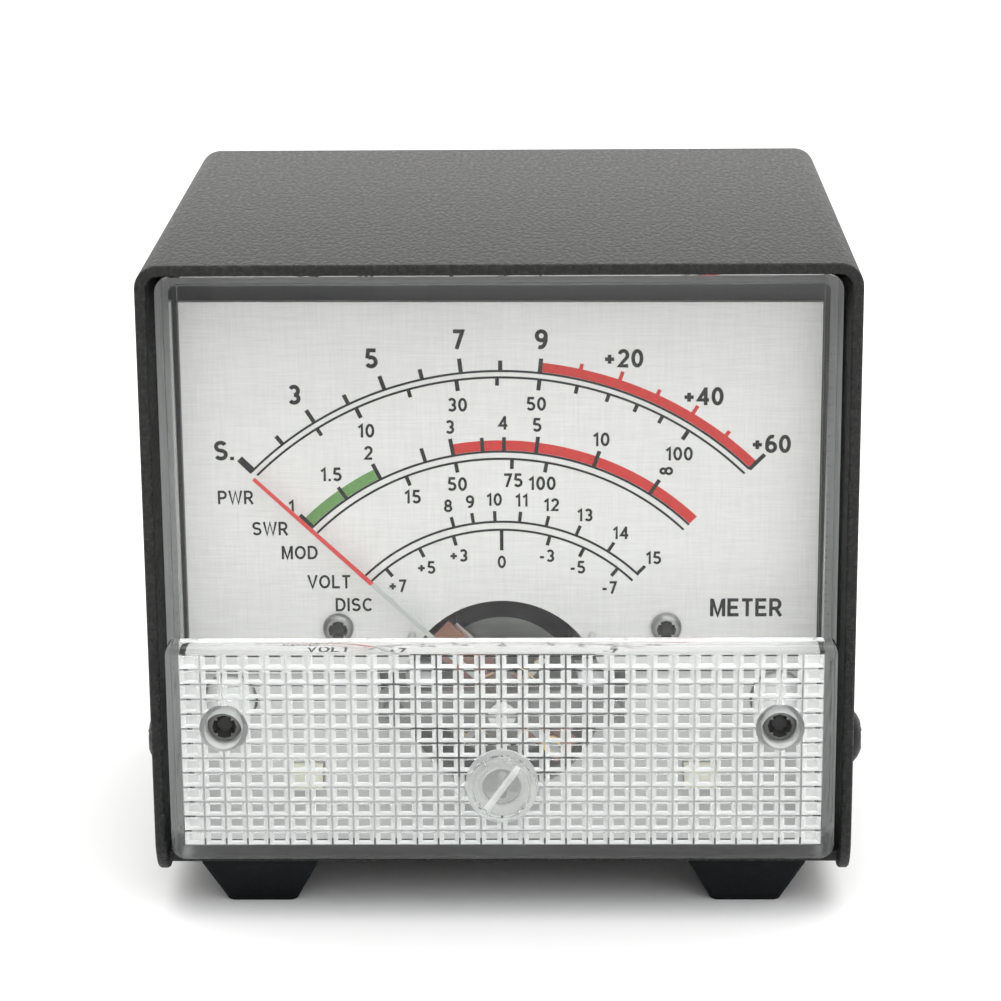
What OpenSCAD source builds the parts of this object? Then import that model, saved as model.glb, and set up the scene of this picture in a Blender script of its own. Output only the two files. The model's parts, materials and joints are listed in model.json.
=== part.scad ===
// Desk-top moving-coil meter in a folded sheet-metal housing, for a radio's signal, power and SWR output.
// The viewer faces +Y, +X is to the right, +Z is up, and the four rubber feet stand on z = 0.
// Depths are counted backwards from the front edge of the sheet-metal cover.

/* [Housing] */
// Thickness of the cover and chassis sheet
sheet = 1.2; // [1:0.1:1.4]
// Depth of the cover, front edge to rear edge
case_d = 68; // [66:0.5:76]
// Outside radius of the cover's two long bends
bend_r = 2.5; // [1.5:0.1:3.5]
// How far the cover's side walls hang below the chassis floor
side_drop = 1.6; // [0.5:0.1:3]
// Radius of the lower corners of the cover's side walls
side_corner_r = 5; // [2:0.5:6]
// Gap between the panel meter and the cover's side walls
side_gap = 0.8; // [0.4:0.1:1.5]
// Gap between the panel meter and the cover's roof
top_gap = 0.2; // [0.1:0.1:0.6]
// Gap between the panel meter and the chassis floor
bottom_gap = 0.5; // [0.4:0.1:1]

/* [Feet] */
// Height of a rubber foot
foot_h = 5.8; // [5.2:0.1:8]
// Side of a foot where it is stuck to the chassis
foot_top = 12.7; // [10:0.1:14]
// Side of a foot where it stands
foot_base = 7.8; // [5:0.1:9]

/* [Panel meter] */
// Width of the clear meter cover
meter_w = 71; // [70.6:0.1:72]
// Height of the clear meter cover
meter_h = 63.3; // [63:0.1:65]
// Side wall of the clear cover
clear_wall = 1.3; // [1:0.1:1.5]
// Thickness of the upper window
window_t = 2; // [1.5:0.1:2.4]
// Height of the ridged lower section
lower_h = 24.2; // [24:0.1:25]

/* [Movement] */
// Angle of the resting pointer, from straight up, left is negative
rest_angle = -46.5; // [-48:0.1:-45]
// Length of the pointer from its pivot
pointer_len = 36.3; // [33:0.1:37]
// Radius of the magnetic core
core_r = 7.8; // [7.4:0.1:7.9]
// Turns in each hairspring
spring_turns = 3.5; // [2.5:0.5:4]

/* [Rear panel] */
// Distance of each socket from the centre line
jack_x = 15; // [13:0.5:18]
// Height of the sockets above the chassis floor
jack_rise = 15; // [12:0.5:18]
// Bore radius of the 3.5 mm signal socket
plug_bore_r = 1.8; // [1.76:0.01:1.85]

/* [Hidden] */
$fn = 64;

// How far the zero adjuster's rim and the signal socket stand out past the cover's two edges
front_proud = 2.2;
rear_proud = 3.5;
front_y = -(case_d + rear_proud - front_proud) / 2;
rear_y = front_y + case_d;
panel_in = rear_y - sheet;

// Housing
case_w = meter_w + 2 * (side_gap + sheet);
case_h = meter_h + 2 * sheet + top_gap + bottom_gap;
chassis_z = foot_h;
side_z = chassis_z - side_drop;
floor_z = chassis_z + sheet;
case_top = chassis_z + case_h;
inner_x = case_w / 2 - sheet;
slip = 0.1;
lip_top = floor_z + 15;
side_screw_depth = 17.8;
cover_hole_r = 1.95;
lip_hole_r = 1.75;
side_screw_z = chassis_z + 8.6;
side_screw_ys = [front_y + side_screw_depth, rear_y - 11];
foot_x = case_w / 2 - 11;
foot_inset = 2.4 + foot_top / 2;

// Clear cover of the panel meter
meter_z = floor_z + bottom_gap;
meter_top = meter_z + meter_h;
meter_x = meter_w / 2;
ledge_z = meter_z + lower_h;
lower_front = front_y - 1.5;
lower_t = 1.8;
window_front = front_y + 0.8;
skirt_y = front_y + 11.5;
corner_r = 1.6;
boss_x = 29.6;
boss_z = meter_z + 14.55;
screw_seat = front_y + 1.08;
boss_r = 2.6;
head_hole_r = 2;
shank_hole_r = 1.4;
hollow_x = meter_x - clear_wall;
hollow_z = meter_z + clear_wall;
hollow_r = 0.5;

// Meter base and how it is held
flange_t = 2;
base_wall = 1.6;
barrel_x = 26;
barrel_z = [meter_z + 0.3, meter_z + 46.5];
floor_y = front_y + 31.5;
barrel_y = floor_y + base_wall;
flange_y = skirt_y + flange_t;
stud_x = 31;
stud_zs = [meter_z + 23.5, meter_z + 55];
panel_back = flange_y + sheet;
bracket_x = 31;
bracket_y = panel_back + 6;

// Dial
dial_y = front_y + 9;
dial_t = 0.8;
dial_x = meter_x - clear_wall - 0.3;
dial_top = meter_z + 58.7;
dial_z = meter_z + 17.5;
notch_r = 10.9;
notch_z = meter_z + 14.7;
pillar_x = 17.7;
pillar_z = meter_z + 22.6;
diffuser_y = dial_y + 0.4;
diffuser_t = 1;
lamp_x = 21.5;
lamp_z = meter_z + 5.7;

// Movement: everything turns about the line x = 0, z = pivot_z
pivot_z = meter_z + 14.8;
former_t = 0.3;
winding_t = 1.1;
coil_gap = 0.6;
coil_in = core_r + coil_gap;
coil_out = coil_in + former_t + winding_t;
coil_w = 4;
coil_y = [front_y + 10.3, front_y + 24.9];
core_y = [coil_y[0] + 1.9, coil_y[1] - 1.9];
yoke_y = [core_y[0] + 0.2, core_y[1] - 0.2];
yoke_in = coil_out + 1;
yoke_out = yoke_in + 2.2;
ear_x = 16.8;
rod_x = (yoke_in + yoke_out) / 2;
bridge_y = front_y + 5.2;
bridge_t = 1.2;
bridge_w = 4;
rear_bridge_y = front_y + 27.6;
pointer_y = front_y + 7.4;
pointer_t = 0.3;
staff_r = 0.6;
collet_r = 1.1;
spring_out = 4.2;
spring_w = 0.25;
lever_y = front_y + 4.7;
lever_t = 0.4;
shoulder_r = 1.5;
adjuster_z = meter_z + 8.1;
adjuster_r = 3.08;
adjuster_rim = 3.75;
stem_hole_r = 2.07;
eccentric = 1.2;
pin_r = 0.5;
fork_r = pivot_z - adjuster_z + eccentric;
stop_r = 11.9;
stop_angle = 55;
stop_x = stop_r * sin(stop_angle);
stop_z = pivot_z + stop_r * cos(stop_angle);

// Rear terminals, circuit board and sockets
term_x = 12;
term_z = meter_z + 38.5;
board_y = barrel_y + 3;
board_t = 1.6;
board_back = board_y + board_t;
trimmer_z = meter_z + 32.5;
trimmer_h = 4.5;
jack_z = floor_z + jack_rise;
jack_in = panel_in - 12.8;

// ---------- helpers ----------

// Extrudes an outline drawn in x and z from depth a to depth b
module along_y(a, b) {
  translate([0, b, 0]) rotate([90, 0, 0]) linear_extrude(b - a) children();
}

// Extrudes an outline drawn in y and z from a to b along x
module along_x(a, b) {
  translate([a, 0, 0]) rotate([90, 0, 90]) linear_extrude(b - a) children();
}

// A round rod or hole along y
module rod(x, z, a, b, r) {
  along_y(a, b) translate([x, z]) circle(r);
}

// A six-sided nut along y, af is its size across the flats
module hex_nut(x, z, a, b, af, bore_r) {
  along_y(a, b) translate([x, z]) difference() {
    circle(af / 2 / cos(30), $fn = 6);
    circle(bore_r);
  }
}

// A rectangle from corner to corner with round corners, rt at the top and rb at the bottom
module round_rect(x0, x1, z0, z1, rt, rb = 0) {
  translate([x0, z0 + rb]) square([x1 - x0, z1 - z0 - rt - rb]);
  translate([x0 + rt, z1 - 2 * rt]) square([x1 - x0 - 2 * rt, 2 * rt]);
  for (x = [x0 + rt, x1 - rt]) translate([x, z1 - rt]) circle(rt);
  if (rb > 0) {
    translate([x0 + rb, z0]) square([x1 - x0 - 2 * rb, 2 * rb]);
    for (x = [x0 + rb, x1 - rb]) translate([x, z0 + rb]) circle(rb);
  }
}

// The outline of a domed pan head, for rotate_extrude
function pan_profile(r, h) = concat(
  [[0, 0], [r, 0], [r, h * 0.35]],
  [for (i = [1:6]) let (t = i * 15) [r - r * 0.45 * (1 - cos(t)), h * 0.35 + h * 0.65 * sin(t)]],
  [[0, h]]
);

// Cross recess of the given span and depth, sunk from z = 0 downwards
module cross_recess(span, depth) {
  arm = span / 4;
  for (a = [0, 90]) rotate([0, 0, a])
    translate([-span / 2, -arm / 2, -depth]) cube([span, arm, depth + 1]);
}

// A cross-head screw standing on z = 0, head up and shank down
module pan_screw(head_r, head_h, shank_r, shank_len) {
  difference() {
    rotate_extrude() polygon(pan_profile(head_r, head_h));
    translate([0, 0, head_h]) cross_recess(head_r * 1.15, head_h * 0.55);
  }
  translate([0, 0, -shank_len]) cylinder(r = shank_r, h = shank_len);
}

// Turns a z-up screw so that its head faces the viewer, with the head's seat at depth y
module facing_front(x, y, z) {
  translate([x, y, z]) rotate([90, 0, 0]) children();
}

module facing_rear(x, y, z) {
  translate([x, y, z]) rotate([-90, 0, 0]) children();
}

// Outline of a flat spiral strip: out along one side and back along the other
function spiral(r, a, t) = [(r + t) * cos(a), (r + t) * sin(a)];
module spiral_strip(r0, r1, turns, t, start) {
  steps = round(turns * 20);
  span = turns * 360;
  polygon(concat(
    [for (i = [0:steps]) spiral(r0 + (r1 - r0) * i / steps, start + span * i / steps, 0)],
    [for (i = [steps:-1:0]) spiral(r0 + (r1 - r0) * i / steps, start + span * i / steps, t)]
  ));
}

// Smooth wire through hand-placed points: Catmull-Rom curve swept by an eight-sided tube
function spline(p, i, t) =
  let (a = p[max(i - 1, 0)], b = p[i], c = p[i + 1], d = p[min(i + 2, len(p) - 1)])
  0.5 * (2 * b + (c - a) * t + (2 * a - 5 * b + 4 * c - d) * t * t + (3 * b - a - 3 * c + d) * t * t * t);
function unit(v) = v / norm(v);
module wire(points, r) {
  per = 5;
  sides = 8;
  path = [
    for (i = [0:len(points) - 2]) for (k = [0:per - 1]) spline(points, i, k / per),
    points[len(points) - 1]
  ];
  n = len(path);
  rings = [
    for (i = [0:n - 1])
      let (
        t = unit(path[min(i + 1, n - 1)] - path[max(i - 1, 0)]),
        u = unit(cross(t, [1, 0.15, 0.1])),
        v = cross(t, u)
      )
      for (k = [0:sides - 1])
        path[i] + r * (cos(k * 360 / sides) * u + sin(k * 360 / sides) * v)
  ];
  faces = concat(
    [[for (k = [0:sides - 1]) k]],
    [[for (k = [sides - 1:-1:0]) (n - 1) * sides + k]],
    [
      for (i = [0:n - 2]) for (k = [0:sides - 1])
        let (j = (k + 1) % sides)
        [i * sides + k, (i + 1) * sides + k, (i + 1) * sides + j, i * sides + j]
    ]
  );
  polyhedron(rings, faces, convexity = 4);
}

// ---------- housing ----------

// One folded sheet: roof and two side walls
module case_cover() color([0.16, 0.16, 0.16]) difference() {
  intersection() {
    along_y(front_y, rear_y) difference() {
      round_rect(-case_w / 2, case_w / 2, side_z, case_top, bend_r);
      round_rect(-inner_x, inner_x, side_z - 1, case_top - sheet, bend_r - sheet);
    }
    along_x(-case_w, case_w) round_rect(front_y, rear_y, side_z, case_top + 2, 1, side_corner_r);
  }
  for (s = [-1, 1], y = side_screw_ys)
    translate([s * case_w / 2, y, side_screw_z]) rotate([0, 90, 0])
      cylinder(r = cover_hole_r, h = 4 * sheet, center = true);
}

// One folded sheet: floor, rear panel and the two lips that the cover is screwed to
module case_chassis() color([0.2, 0.2, 0.2]) difference() {
  union() {
    translate([slip - inner_x, front_y + 2, chassis_z]) cube([2 * (inner_x - slip), case_d - 2, sheet]);
    along_y(panel_in, rear_y)
      round_rect(slip - inner_x, inner_x - slip, chassis_z, case_top - sheet - slip, bend_r);
    for (s = [-1, 1])
      translate([s * (inner_x - slip - sheet / 2) - sheet / 2, panel_back + 0.3, chassis_z])
        cube([sheet, case_d - side_screw_depth, lip_top - chassis_z]);
  }
  for (s = [-1, 1], y = side_screw_ys)
    translate([s * inner_x, y, side_screw_z]) rotate([0, 90, 0])
      cylinder(r = lip_hole_r, h = 5 * sheet, center = true);
  for (s = [-1, 1])
    translate([s * bracket_x, bracket_y, 0]) cylinder(r = 1.7, h = floor_z + 1);
  rod(-jack_x, jack_z, panel_in - 1, rear_y + 1, 3.1);
  rod(jack_x, jack_z, panel_in - 1, rear_y + 1, 4.1);
}

// Inner bulkhead that the panel meter is bolted to, with two feet bent back onto the floor
module meter_panel() color([0.6, 0.61, 0.62]) {
  leg_x = inner_x - slip - sheet - slip;
  along_y(flange_y, panel_back) difference() {
    translate([-leg_x, floor_z]) square([2 * leg_x, meter_h - 1.5]);
    translate([-barrel_x - 0.4, floor_z - 1]) square([2 * (barrel_x + 0.4), barrel_z[1] + 1.4 - floor_z]);
    for (s = [-1, 1], z = stud_zs) translate([s * stud_x, z]) circle(1.7);
    for (s = [-1, 1]) translate([s * boss_x, boss_z]) circle(boss_r + 0.4);
  }
  for (s = [-1, 1]) difference() {
    translate([s * bracket_x - 3.5, panel_back - slip, floor_z]) cube([7, 10, sheet]);
    translate([s * bracket_x, bracket_y, floor_z - 1]) cylinder(r = 1.45, h = 4);
  }
}

module side_screws() color([0.08, 0.08, 0.08])
  for (s = [-1, 1], y = side_screw_ys)
    translate([s * case_w / 2, y, side_screw_z]) rotate([0, s * 90, 0]) pan_screw(3.4, 2.65, 1.7, 5.5);

module bracket_screws() color([0.5, 0.5, 0.52])
  for (s = [-1, 1])
    translate([s * bracket_x, bracket_y, chassis_z]) rotate([180, 0, 0]) pan_screw(2.8, 1.8, 1.42, 6);

// Four tapered stick-on feet
module rubber_feet() color([0.05, 0.05, 0.05]) {
  top_flat = foot_top / 2 - 0.6;
  base_flat = foot_base / 2 - 0.6;
  for (s = [-1, 1], y = [front_y + foot_inset, rear_y - foot_inset])
    translate([s * foot_x, y, 0]) hull() {
      for (a = [-1, 1], b = [-1, 1]) {
        translate([a * base_flat, b * base_flat, 0]) cylinder(r = 0.6, h = 0.2, $fn = 16);
        translate([a * top_flat, b * top_flat, foot_h - 0.4]) cylinder(r = 0.6, h = 0.4, $fn = 16);
      }
    }
}

// ---------- panel meter shell ----------

// Clear moulding: plain window above, thicker section below, skirt all round and two screw tubes
module meter_cover() color([0.85, 0.9, 0.92, 0.35]) difference() {
  union() {
    difference() {
      union() {
        along_y(window_front, skirt_y) round_rect(-meter_x, meter_x, meter_z, meter_top, corner_r, corner_r);
        along_y(lower_front, skirt_y) round_rect(-meter_x, meter_x, meter_z, ledge_z, 0.4, corner_r);
      }
      along_y(window_front + window_t, skirt_y + 1)
        round_rect(-hollow_x, hollow_x, hollow_z, meter_top - clear_wall, hollow_r, hollow_r);
      along_y(lower_front + lower_t, skirt_y + 1)
        round_rect(-hollow_x, hollow_x, hollow_z, ledge_z - clear_wall, hollow_r, hollow_r);
    }
    for (s = [-1, 1]) rod(s * boss_x, boss_z, lower_front + 0.5, skirt_y, boss_r);
    rod(0, adjuster_z, front_y - front_proud, lower_front + 0.5, adjuster_rim);
  }
  for (s = [-1, 1]) {
    rod(s * boss_x, boss_z, lower_front - 1, screw_seat + 0.02, head_hole_r);
    rod(s * boss_x, boss_z, lower_front, skirt_y + 1, shank_hole_r);
  }
  rod(0, adjuster_z, front_y - front_proud - 1, front_y - 0.7, adjuster_r + 0.12);
  rod(0, adjuster_z, front_y - 2, front_y + 4, stem_hole_r);
}

module cover_screws() color([0.72, 0.72, 0.72])
  for (s = [-1, 1])
    facing_front(s * boss_x, screw_seat, boss_z) pan_screw(1.85, 1.2, 1.28, 14.3);

// Clear slotted disc whose off-centre pin works the zero lever
module zero_adjuster() color([0.88, 0.92, 0.94, 0.5]) {
  face = front_y - 2;
  difference() {
    rod(0, adjuster_z, face, front_y - 0.78, adjuster_r);
    translate([0, face, adjuster_z]) rotate([0, 36, 0]) translate([-0.5, -0.1, -4]) cube([1, 0.8, 8]);
  }
  rod(0, adjuster_z, front_y - 0.78, front_y + 0.4, 2);
  rod(0, adjuster_z, front_y + 0.4, front_y + 1, 2.4);
  rod(0, adjuster_z - eccentric, front_y + 1, lever_y + lever_t + 0.1, pin_r);
}

// Dark moulded housing behind the dial: flange, barrel, floor and inner bosses
module meter_base() color([0.1, 0.1, 0.1]) difference() {
  union() {
    along_y(skirt_y, flange_y) difference() {
      round_rect(0.2 - meter_x, meter_x - 0.2, meter_z + 0.1, meter_top - 0.1, corner_r, corner_r);
      barrel_hollow();
    }
    along_y(skirt_y, barrel_y) difference() {
      round_rect(-barrel_x, barrel_x, barrel_z[0], barrel_z[1], 4, 4);
      barrel_hollow();
    }
    along_y(floor_y, barrel_y) round_rect(-barrel_x, barrel_x, barrel_z[0], barrel_z[1], 4, 4);
    for (s = [-1, 1]) {
      rod(s * ear_x, pivot_z, yoke_y[1], floor_y + 1, 3);
      rod(s * boss_x, boss_z, skirt_y + 1, panel_back + 2, boss_r);
    }
  }
  for (s = [-1, 1]) {
    rod(s * ear_x, pivot_z, yoke_y[1] - 1, floor_y, 1.45);
    rod(s * boss_x, boss_z, skirt_y - 1, panel_back + 1.5, 1.3);
    rod(s * lamp_x, lamp_z, floor_y - 1, barrel_y + 1, 1.8);
    rod(s * term_x, term_z, floor_y - 1, barrel_y + 1, 2);
    for (z = stud_zs) rod(s * stud_x, z, skirt_y + 0.6, flange_y + 1, 1.5);
  }
}

module barrel_hollow() {
  round_rect(
    base_wall - barrel_x, barrel_x - base_wall, barrel_z[0] + 1.4, barrel_z[1] - base_wall, 2.4, 2.4
  );
}

// Four studs moulded into the flange
module mounting_studs() color([0.78, 0.65, 0.35])
  for (s = [-1, 1], z = stud_zs) rod(s * stud_x, z, skirt_y + 0.6, panel_back + 6, 1.48);

module mounting_washers() color([0.7, 0.7, 0.72])
  for (s = [-1, 1], z = stud_zs)
    along_y(panel_back, panel_back + 0.5) translate([s * stud_x, z]) difference() {
      circle(3);
      circle(1.6);
    }

module mounting_nuts() color([0.7, 0.7, 0.72])
  for (s = [-1, 1], z = stud_zs) hex_nut(s * stud_x, z, panel_back + 0.5, panel_back + 2.9, 5.5, 1.5);

// ---------- dial ----------

module dial_plate() color([0.85, 0.85, 0.83]) along_y(dial_y, dial_y + dial_t) difference() {
  translate([-dial_x, dial_z]) square([2 * dial_x, dial_top - dial_z]);
  translate([0, notch_z]) circle(notch_r);
  for (s = [-1, 1]) {
    translate([s * pillar_x, pillar_z]) circle(1.1);
    translate([s * stop_x, stop_z]) circle(0.42);
  }
}

module dial_screws() color([0.6, 0.6, 0.6])
  for (s = [-1, 1]) facing_front(s * pillar_x, dial_y, pillar_z) pan_screw(1.65, 1, 0.9, 5);

// Brass posts from the floor of the base to the back of the dial
module dial_pillars() color([0.78, 0.65, 0.35])
  for (s = [-1, 1]) along_y(dial_y + dial_t, floor_y) translate([s * pillar_x, pillar_z]) difference() {
    circle(2.2);
    circle(0.95);
  }

// Small sleeved pins that end the pointer's travel
module pointer_stops() color([0.9, 0.9, 0.88])
  for (s = [-1, 1])
    rod(s * stop_x, stop_z, pointer_y - 0.3, dial_y + dial_t + 0.3, 0.4);

// White panel that spreads the lamps' light behind the ridged section, with a lip forward along its foot
module diffuser_panel() color([0.93, 0.93, 0.9]) {
  foot_z = meter_z + clear_wall + 0.3;
  along_y(diffuser_y, diffuser_y + diffuser_t) difference() {
    translate([-dial_x, foot_z]) square([2 * dial_x, dial_z - 0.2 - foot_z]);
    translate([0, notch_z]) circle(notch_r);
    for (s = [-1, 1]) {
      translate([s * boss_x, boss_z]) circle(boss_r + 0.3);
      translate([s * rod_x, pivot_z]) circle(1.5);
      translate([s * rod_x - 1.5, pivot_z]) square([3, 4]);
      translate([s * lamp_x - 1.9, lamp_z - 1.55]) square([3.8, 3.1]);
    }
  }
  translate([0.4 - dial_x, front_y + 1, foot_z]) cube([2 * dial_x - 0.8, diffuser_y - front_y - 0.8, 0.6]);
  for (s = [-1, 1]) rod(s * 31, meter_z + 4, diffuser_y + diffuser_t, skirt_y, 1.8);
}

module lamp_boards() color([0.9, 0.92, 0.88])
  for (s = [-1, 1])
    translate([s * lamp_x - 2.5, diffuser_y + diffuser_t, lamp_z - 3]) cube([5, 0.8, 6]);

// Two surface-mount lamps that look through windows in the diffuser
module lamps() color([0.95, 0.9, 0.45])
  for (s = [-1, 1]) translate([s * lamp_x - 1.75, diffuser_y - 0.9, lamp_z - 1.4]) cube([3.5, 1.9, 2.8]);

// ---------- movement, fixed parts ----------

// Soft-iron ring with an ear at each side
module yoke_ring() color([0.45, 0.46, 0.45]) {
  along_y(yoke_y[0], yoke_y[1]) translate([0, pivot_z]) difference() {
    circle(yoke_out);
    circle(yoke_in);
  }
  along_y(yoke_y[1] - 3, yoke_y[1]) difference() {
    for (s = [-1, 1]) translate([s * (ear_x - 0.4), pivot_z]) square([7.4, 6], center = true);
    translate([0, pivot_z]) circle(yoke_in + 0.5);
    for (s = [-1, 1]) translate([s * ear_x, pivot_z]) circle(1.6);
  }
}

module yoke_screws() color([0.7, 0.7, 0.72])
  for (s = [-1, 1]) facing_front(s * ear_x, yoke_y[1] - 3, pivot_z) pan_screw(2.7, 1.8, 1.42, 10);

module core_magnet() color([0.3, 0.3, 0.32]) rod(0, pivot_z, core_y[0], core_y[1], core_r);

// Brass blocks that hold the core in the middle of the ring
module core_spacers() color([0.78, 0.65, 0.35])
  along_y(yoke_y[0] + 2, yoke_y[1] - 2) intersection() {
    translate([0, pivot_z]) difference() {
      circle(yoke_in - 0.02);
      circle(core_r + 0.02);
    }
    translate([-yoke_out, pivot_z - 2]) square([2 * yoke_out, 4]);
  }

module front_pillars() color([0.7, 0.7, 0.72])
  for (s = [-1, 1]) along_y(bridge_y + bridge_t, yoke_y[0]) translate([s * rod_x, pivot_z]) difference() {
    circle(1.1);
    circle(0.55);
  }

module rear_pillars() color([0.78, 0.65, 0.35])
  for (s = [-1, 1]) along_y(yoke_y[1], rear_bridge_y) translate([s * rod_x, pivot_z]) difference() {
    circle(1.1);
    circle(0.55);
  }

// Strip across the movement that carries a jewel screw, from depth a
module bridge(a) {
  along_y(a, a + bridge_t) difference() {
    round_rect(-rod_x - 1.5, rod_x + 1.5, pivot_z - bridge_w / 2, pivot_z + bridge_w / 2, 1, 1);
    translate([0, pivot_z]) circle(shoulder_r);
    for (s = [-1, 1]) translate([s * rod_x, pivot_z]) circle(0.6);
  }
}

module front_bridge() color([0.7, 0.7, 0.72]) bridge(bridge_y);

// The rear bridge also holds the outer end of the rear hairspring
module rear_bridge() color([0.7, 0.7, 0.72]) {
  bridge(rear_bridge_y);
  translate([-0.8, rear_bridge_y, pivot_z + bridge_w / 2 - 0.5]) cube([1.6, bridge_t, 3.6]);
  translate([-0.8, rear_bridge_y - 2, pivot_z + spring_out + 0.35]) cube([1.6, 2.2, 0.4]);
}

module front_bridge_screws() color([0.7, 0.7, 0.72])
  for (s = [-1, 1]) facing_front(s * rod_x, bridge_y, pivot_z) pan_screw(1.1, 0.8, 0.52, 5);

module rear_bridge_screws() color([0.7, 0.7, 0.72])
  for (s = [-1, 1]) facing_rear(s * rod_x, rear_bridge_y + bridge_t, pivot_z) pan_screw(1.1, 0.8, 0.52, 4);

// Screw with a jewel cup in its tip and a driver slot in its outer end
module jewel_screw(outer, tip) {
  low = min(outer, tip);
  high = max(outer, tip);
  cup = tip > outer ? [tip - 0.6, tip + 1] : [tip - 1, tip + 0.6];
  slot_y = tip > outer ? outer - 0.1 : outer - 0.6;
  difference() {
    rod(0, pivot_z, low, high, shoulder_r - 0.02);
    rod(0, pivot_z, cup[0], cup[1], 0.35);
    translate([-2, slot_y, pivot_z - 0.25]) cube([4, 0.7, 0.5]);
  }
}

module front_jewel_screw() color([0.7, 0.7, 0.72]) jewel_screw(front_y + 3, front_y + 6.6);

module rear_jewel_screw() color([0.7, 0.7, 0.72]) jewel_screw(front_y + 30.4, front_y + 26.9);

module jewel_lock_nuts() color([0.7, 0.7, 0.72]) {
  hex_nut(0, pivot_z, front_y + 3.5, lever_y - 0.1, 4.6, shoulder_r);
  hex_nut(0, pivot_z, rear_bridge_y + bridge_t, rear_bridge_y + bridge_t + 1.1, 4.6, shoulder_r);
}

// ---------- movement, moving parts ----------

// Forked lever on the front jewel screw: the adjuster's pin swings it, and it carries the spring's end
module zero_lever() color([0.7, 0.7, 0.72]) {
  along_y(lever_y, lever_y + lever_t) difference() {
    union() {
      translate([0, pivot_z]) circle(2.5);
      translate([-0.9, pivot_z]) square([1.8, spring_out + 0.75]);
      translate([-1.5, pivot_z - fork_r - 1.2]) square([3, fork_r]);
    }
    translate([0, pivot_z]) circle(shoulder_r + 0.05);
    translate([-pin_r - 0.15, pivot_z - fork_r - 2]) square([2 * pin_r + 0.3, 3]);
  }
  translate([-0.9, lever_y, pivot_z + spring_out + 0.35]) cube([1.8, pointer_y - 0.2 - lever_y, 0.4]);
}

// Turns children about the pivot so that up points along the resting pointer
module at_rest_angle() {
  translate([0, 0, pivot_z]) rotate([0, rest_angle, 0]) children();
}

// Long tapered blade with a hub, a tail and two side arms
module pointer() color([0.86, 0.86, 0.85]) at_rest_angle()
  along_y(pointer_y, pointer_y + pointer_t) difference() {
    union() {
      polygon([[-0.4, 0], [0.4, 0], [0.24, 12], [0.17, pointer_len], [-0.17, pointer_len], [-0.24, 12]]);
      translate([-0.4, -8.4]) square([0.8, 8.4]);
      translate([-6.4, -0.35]) square([12.8, 0.7]);
      circle(1.5);
    }
    circle(staff_r + 0.02);
  }

// Small brass sleeves on the tail and side arms that put the centre of mass on the pivot
module balance_weights() color([0.82, 0.7, 0.38]) at_rest_angle() {
  translate([0, pointer_y + pointer_t, -7.2]) rotate([-90, 0, 0]) cylinder(r = 1, h = 1.04);
  for (s = [-1, 1])
    translate([s * 5.6, pointer_y + pointer_t, 0]) rotate([-90, 0, 0]) cylinder(r = 0.5, h = 0.6);
}

// A rectangular loop of the coil: half-height out, hollow half-height in, y ends grown by the same step
module coil_loop(inner, outer, w) {
  grow = outer - coil_out;
  shrink = inner - coil_out;
  difference() {
    translate([-w / 2, coil_y[0] - grow, -outer]) cube([w, coil_y[1] - coil_y[0] + 2 * grow, 2 * outer]);
    translate([-w, coil_y[0] - shrink, -inner]) cube([2 * w, coil_y[1] - coil_y[0] + 2 * shrink, 2 * inner]);
  }
}

module coil_former() color([0.8, 0.8, 0.8]) at_rest_angle()
  coil_loop(coil_in, coil_in + former_t, coil_w);

module coil_winding() color([0.72, 0.33, 0.2]) at_rest_angle()
  coil_loop(coil_in + former_t, coil_out, coil_w - 0.4);

// Staff glued to the front of the coil: flange, spindle, spring collet and steel pivot
module front_staff() color([0.7, 0.7, 0.72]) {
  rod(0, pivot_z, coil_y[0] - 0.6, coil_y[0], 1.8);
  rod(0, pivot_z, front_y + 6.9, coil_y[0] - 0.6, staff_r);
  rod(0, pivot_z, front_y + 6.9, front_y + 7.25, collet_r);
  rod(0, pivot_z, front_y + 6.15, front_y + 6.9, 0.25);
}

module rear_staff() color([0.7, 0.7, 0.72]) {
  rod(0, pivot_z, coil_y[1], coil_y[1] + 0.6, 1.8);
  rod(0, pivot_z, coil_y[1] + 0.6, front_y + 26.6, staff_r);
  rod(0, pivot_z, front_y + 25.65, front_y + 26, collet_r);
  rod(0, pivot_z, front_y + 26.6, front_y + 27.35, 0.25);
}

// Flat spiral springs, wound opposite ways
module front_hairspring() color([0.85, 0.72, 0.4])
  along_y(front_y + 6.95, front_y + 6.95 + spring_w) translate([0, pivot_z])
    spiral_strip(collet_r + 0.02, spring_out + 0.1, spring_turns, 0.15, 270);

module rear_hairspring() color([0.85, 0.72, 0.4])
  along_y(front_y + 25.7, front_y + 25.7 + spring_w) translate([0, pivot_z]) mirror([1, 0])
    spiral_strip(collet_r + 0.02, spring_out + 0.1, spring_turns, 0.15, 270);

// ---------- terminals and circuit board ----------

module terminal_studs() color([0.78, 0.65, 0.35])
  for (s = [-1, 1]) {
    rod(s * term_x, term_z, floor_y - 1.2, floor_y, 3.4);
    rod(s * term_x, term_z, floor_y, board_back + 5.3, 1.97);
  }

module terminal_nuts() color([0.7, 0.7, 0.72])
  for (s = [-1, 1]) {
    hex_nut(s * term_x, term_z, barrel_y, board_y, 7, 1.99);
    hex_nut(s * term_x, term_z, board_back + 0.5, board_back + 3.5, 7, 1.99);
  }

module terminal_washers() color([0.7, 0.7, 0.72])
  for (s = [-1, 1]) along_y(board_back, board_back + 0.5) translate([s * term_x, term_z]) difference() {
    circle(4);
    circle(2.1);
  }

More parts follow.
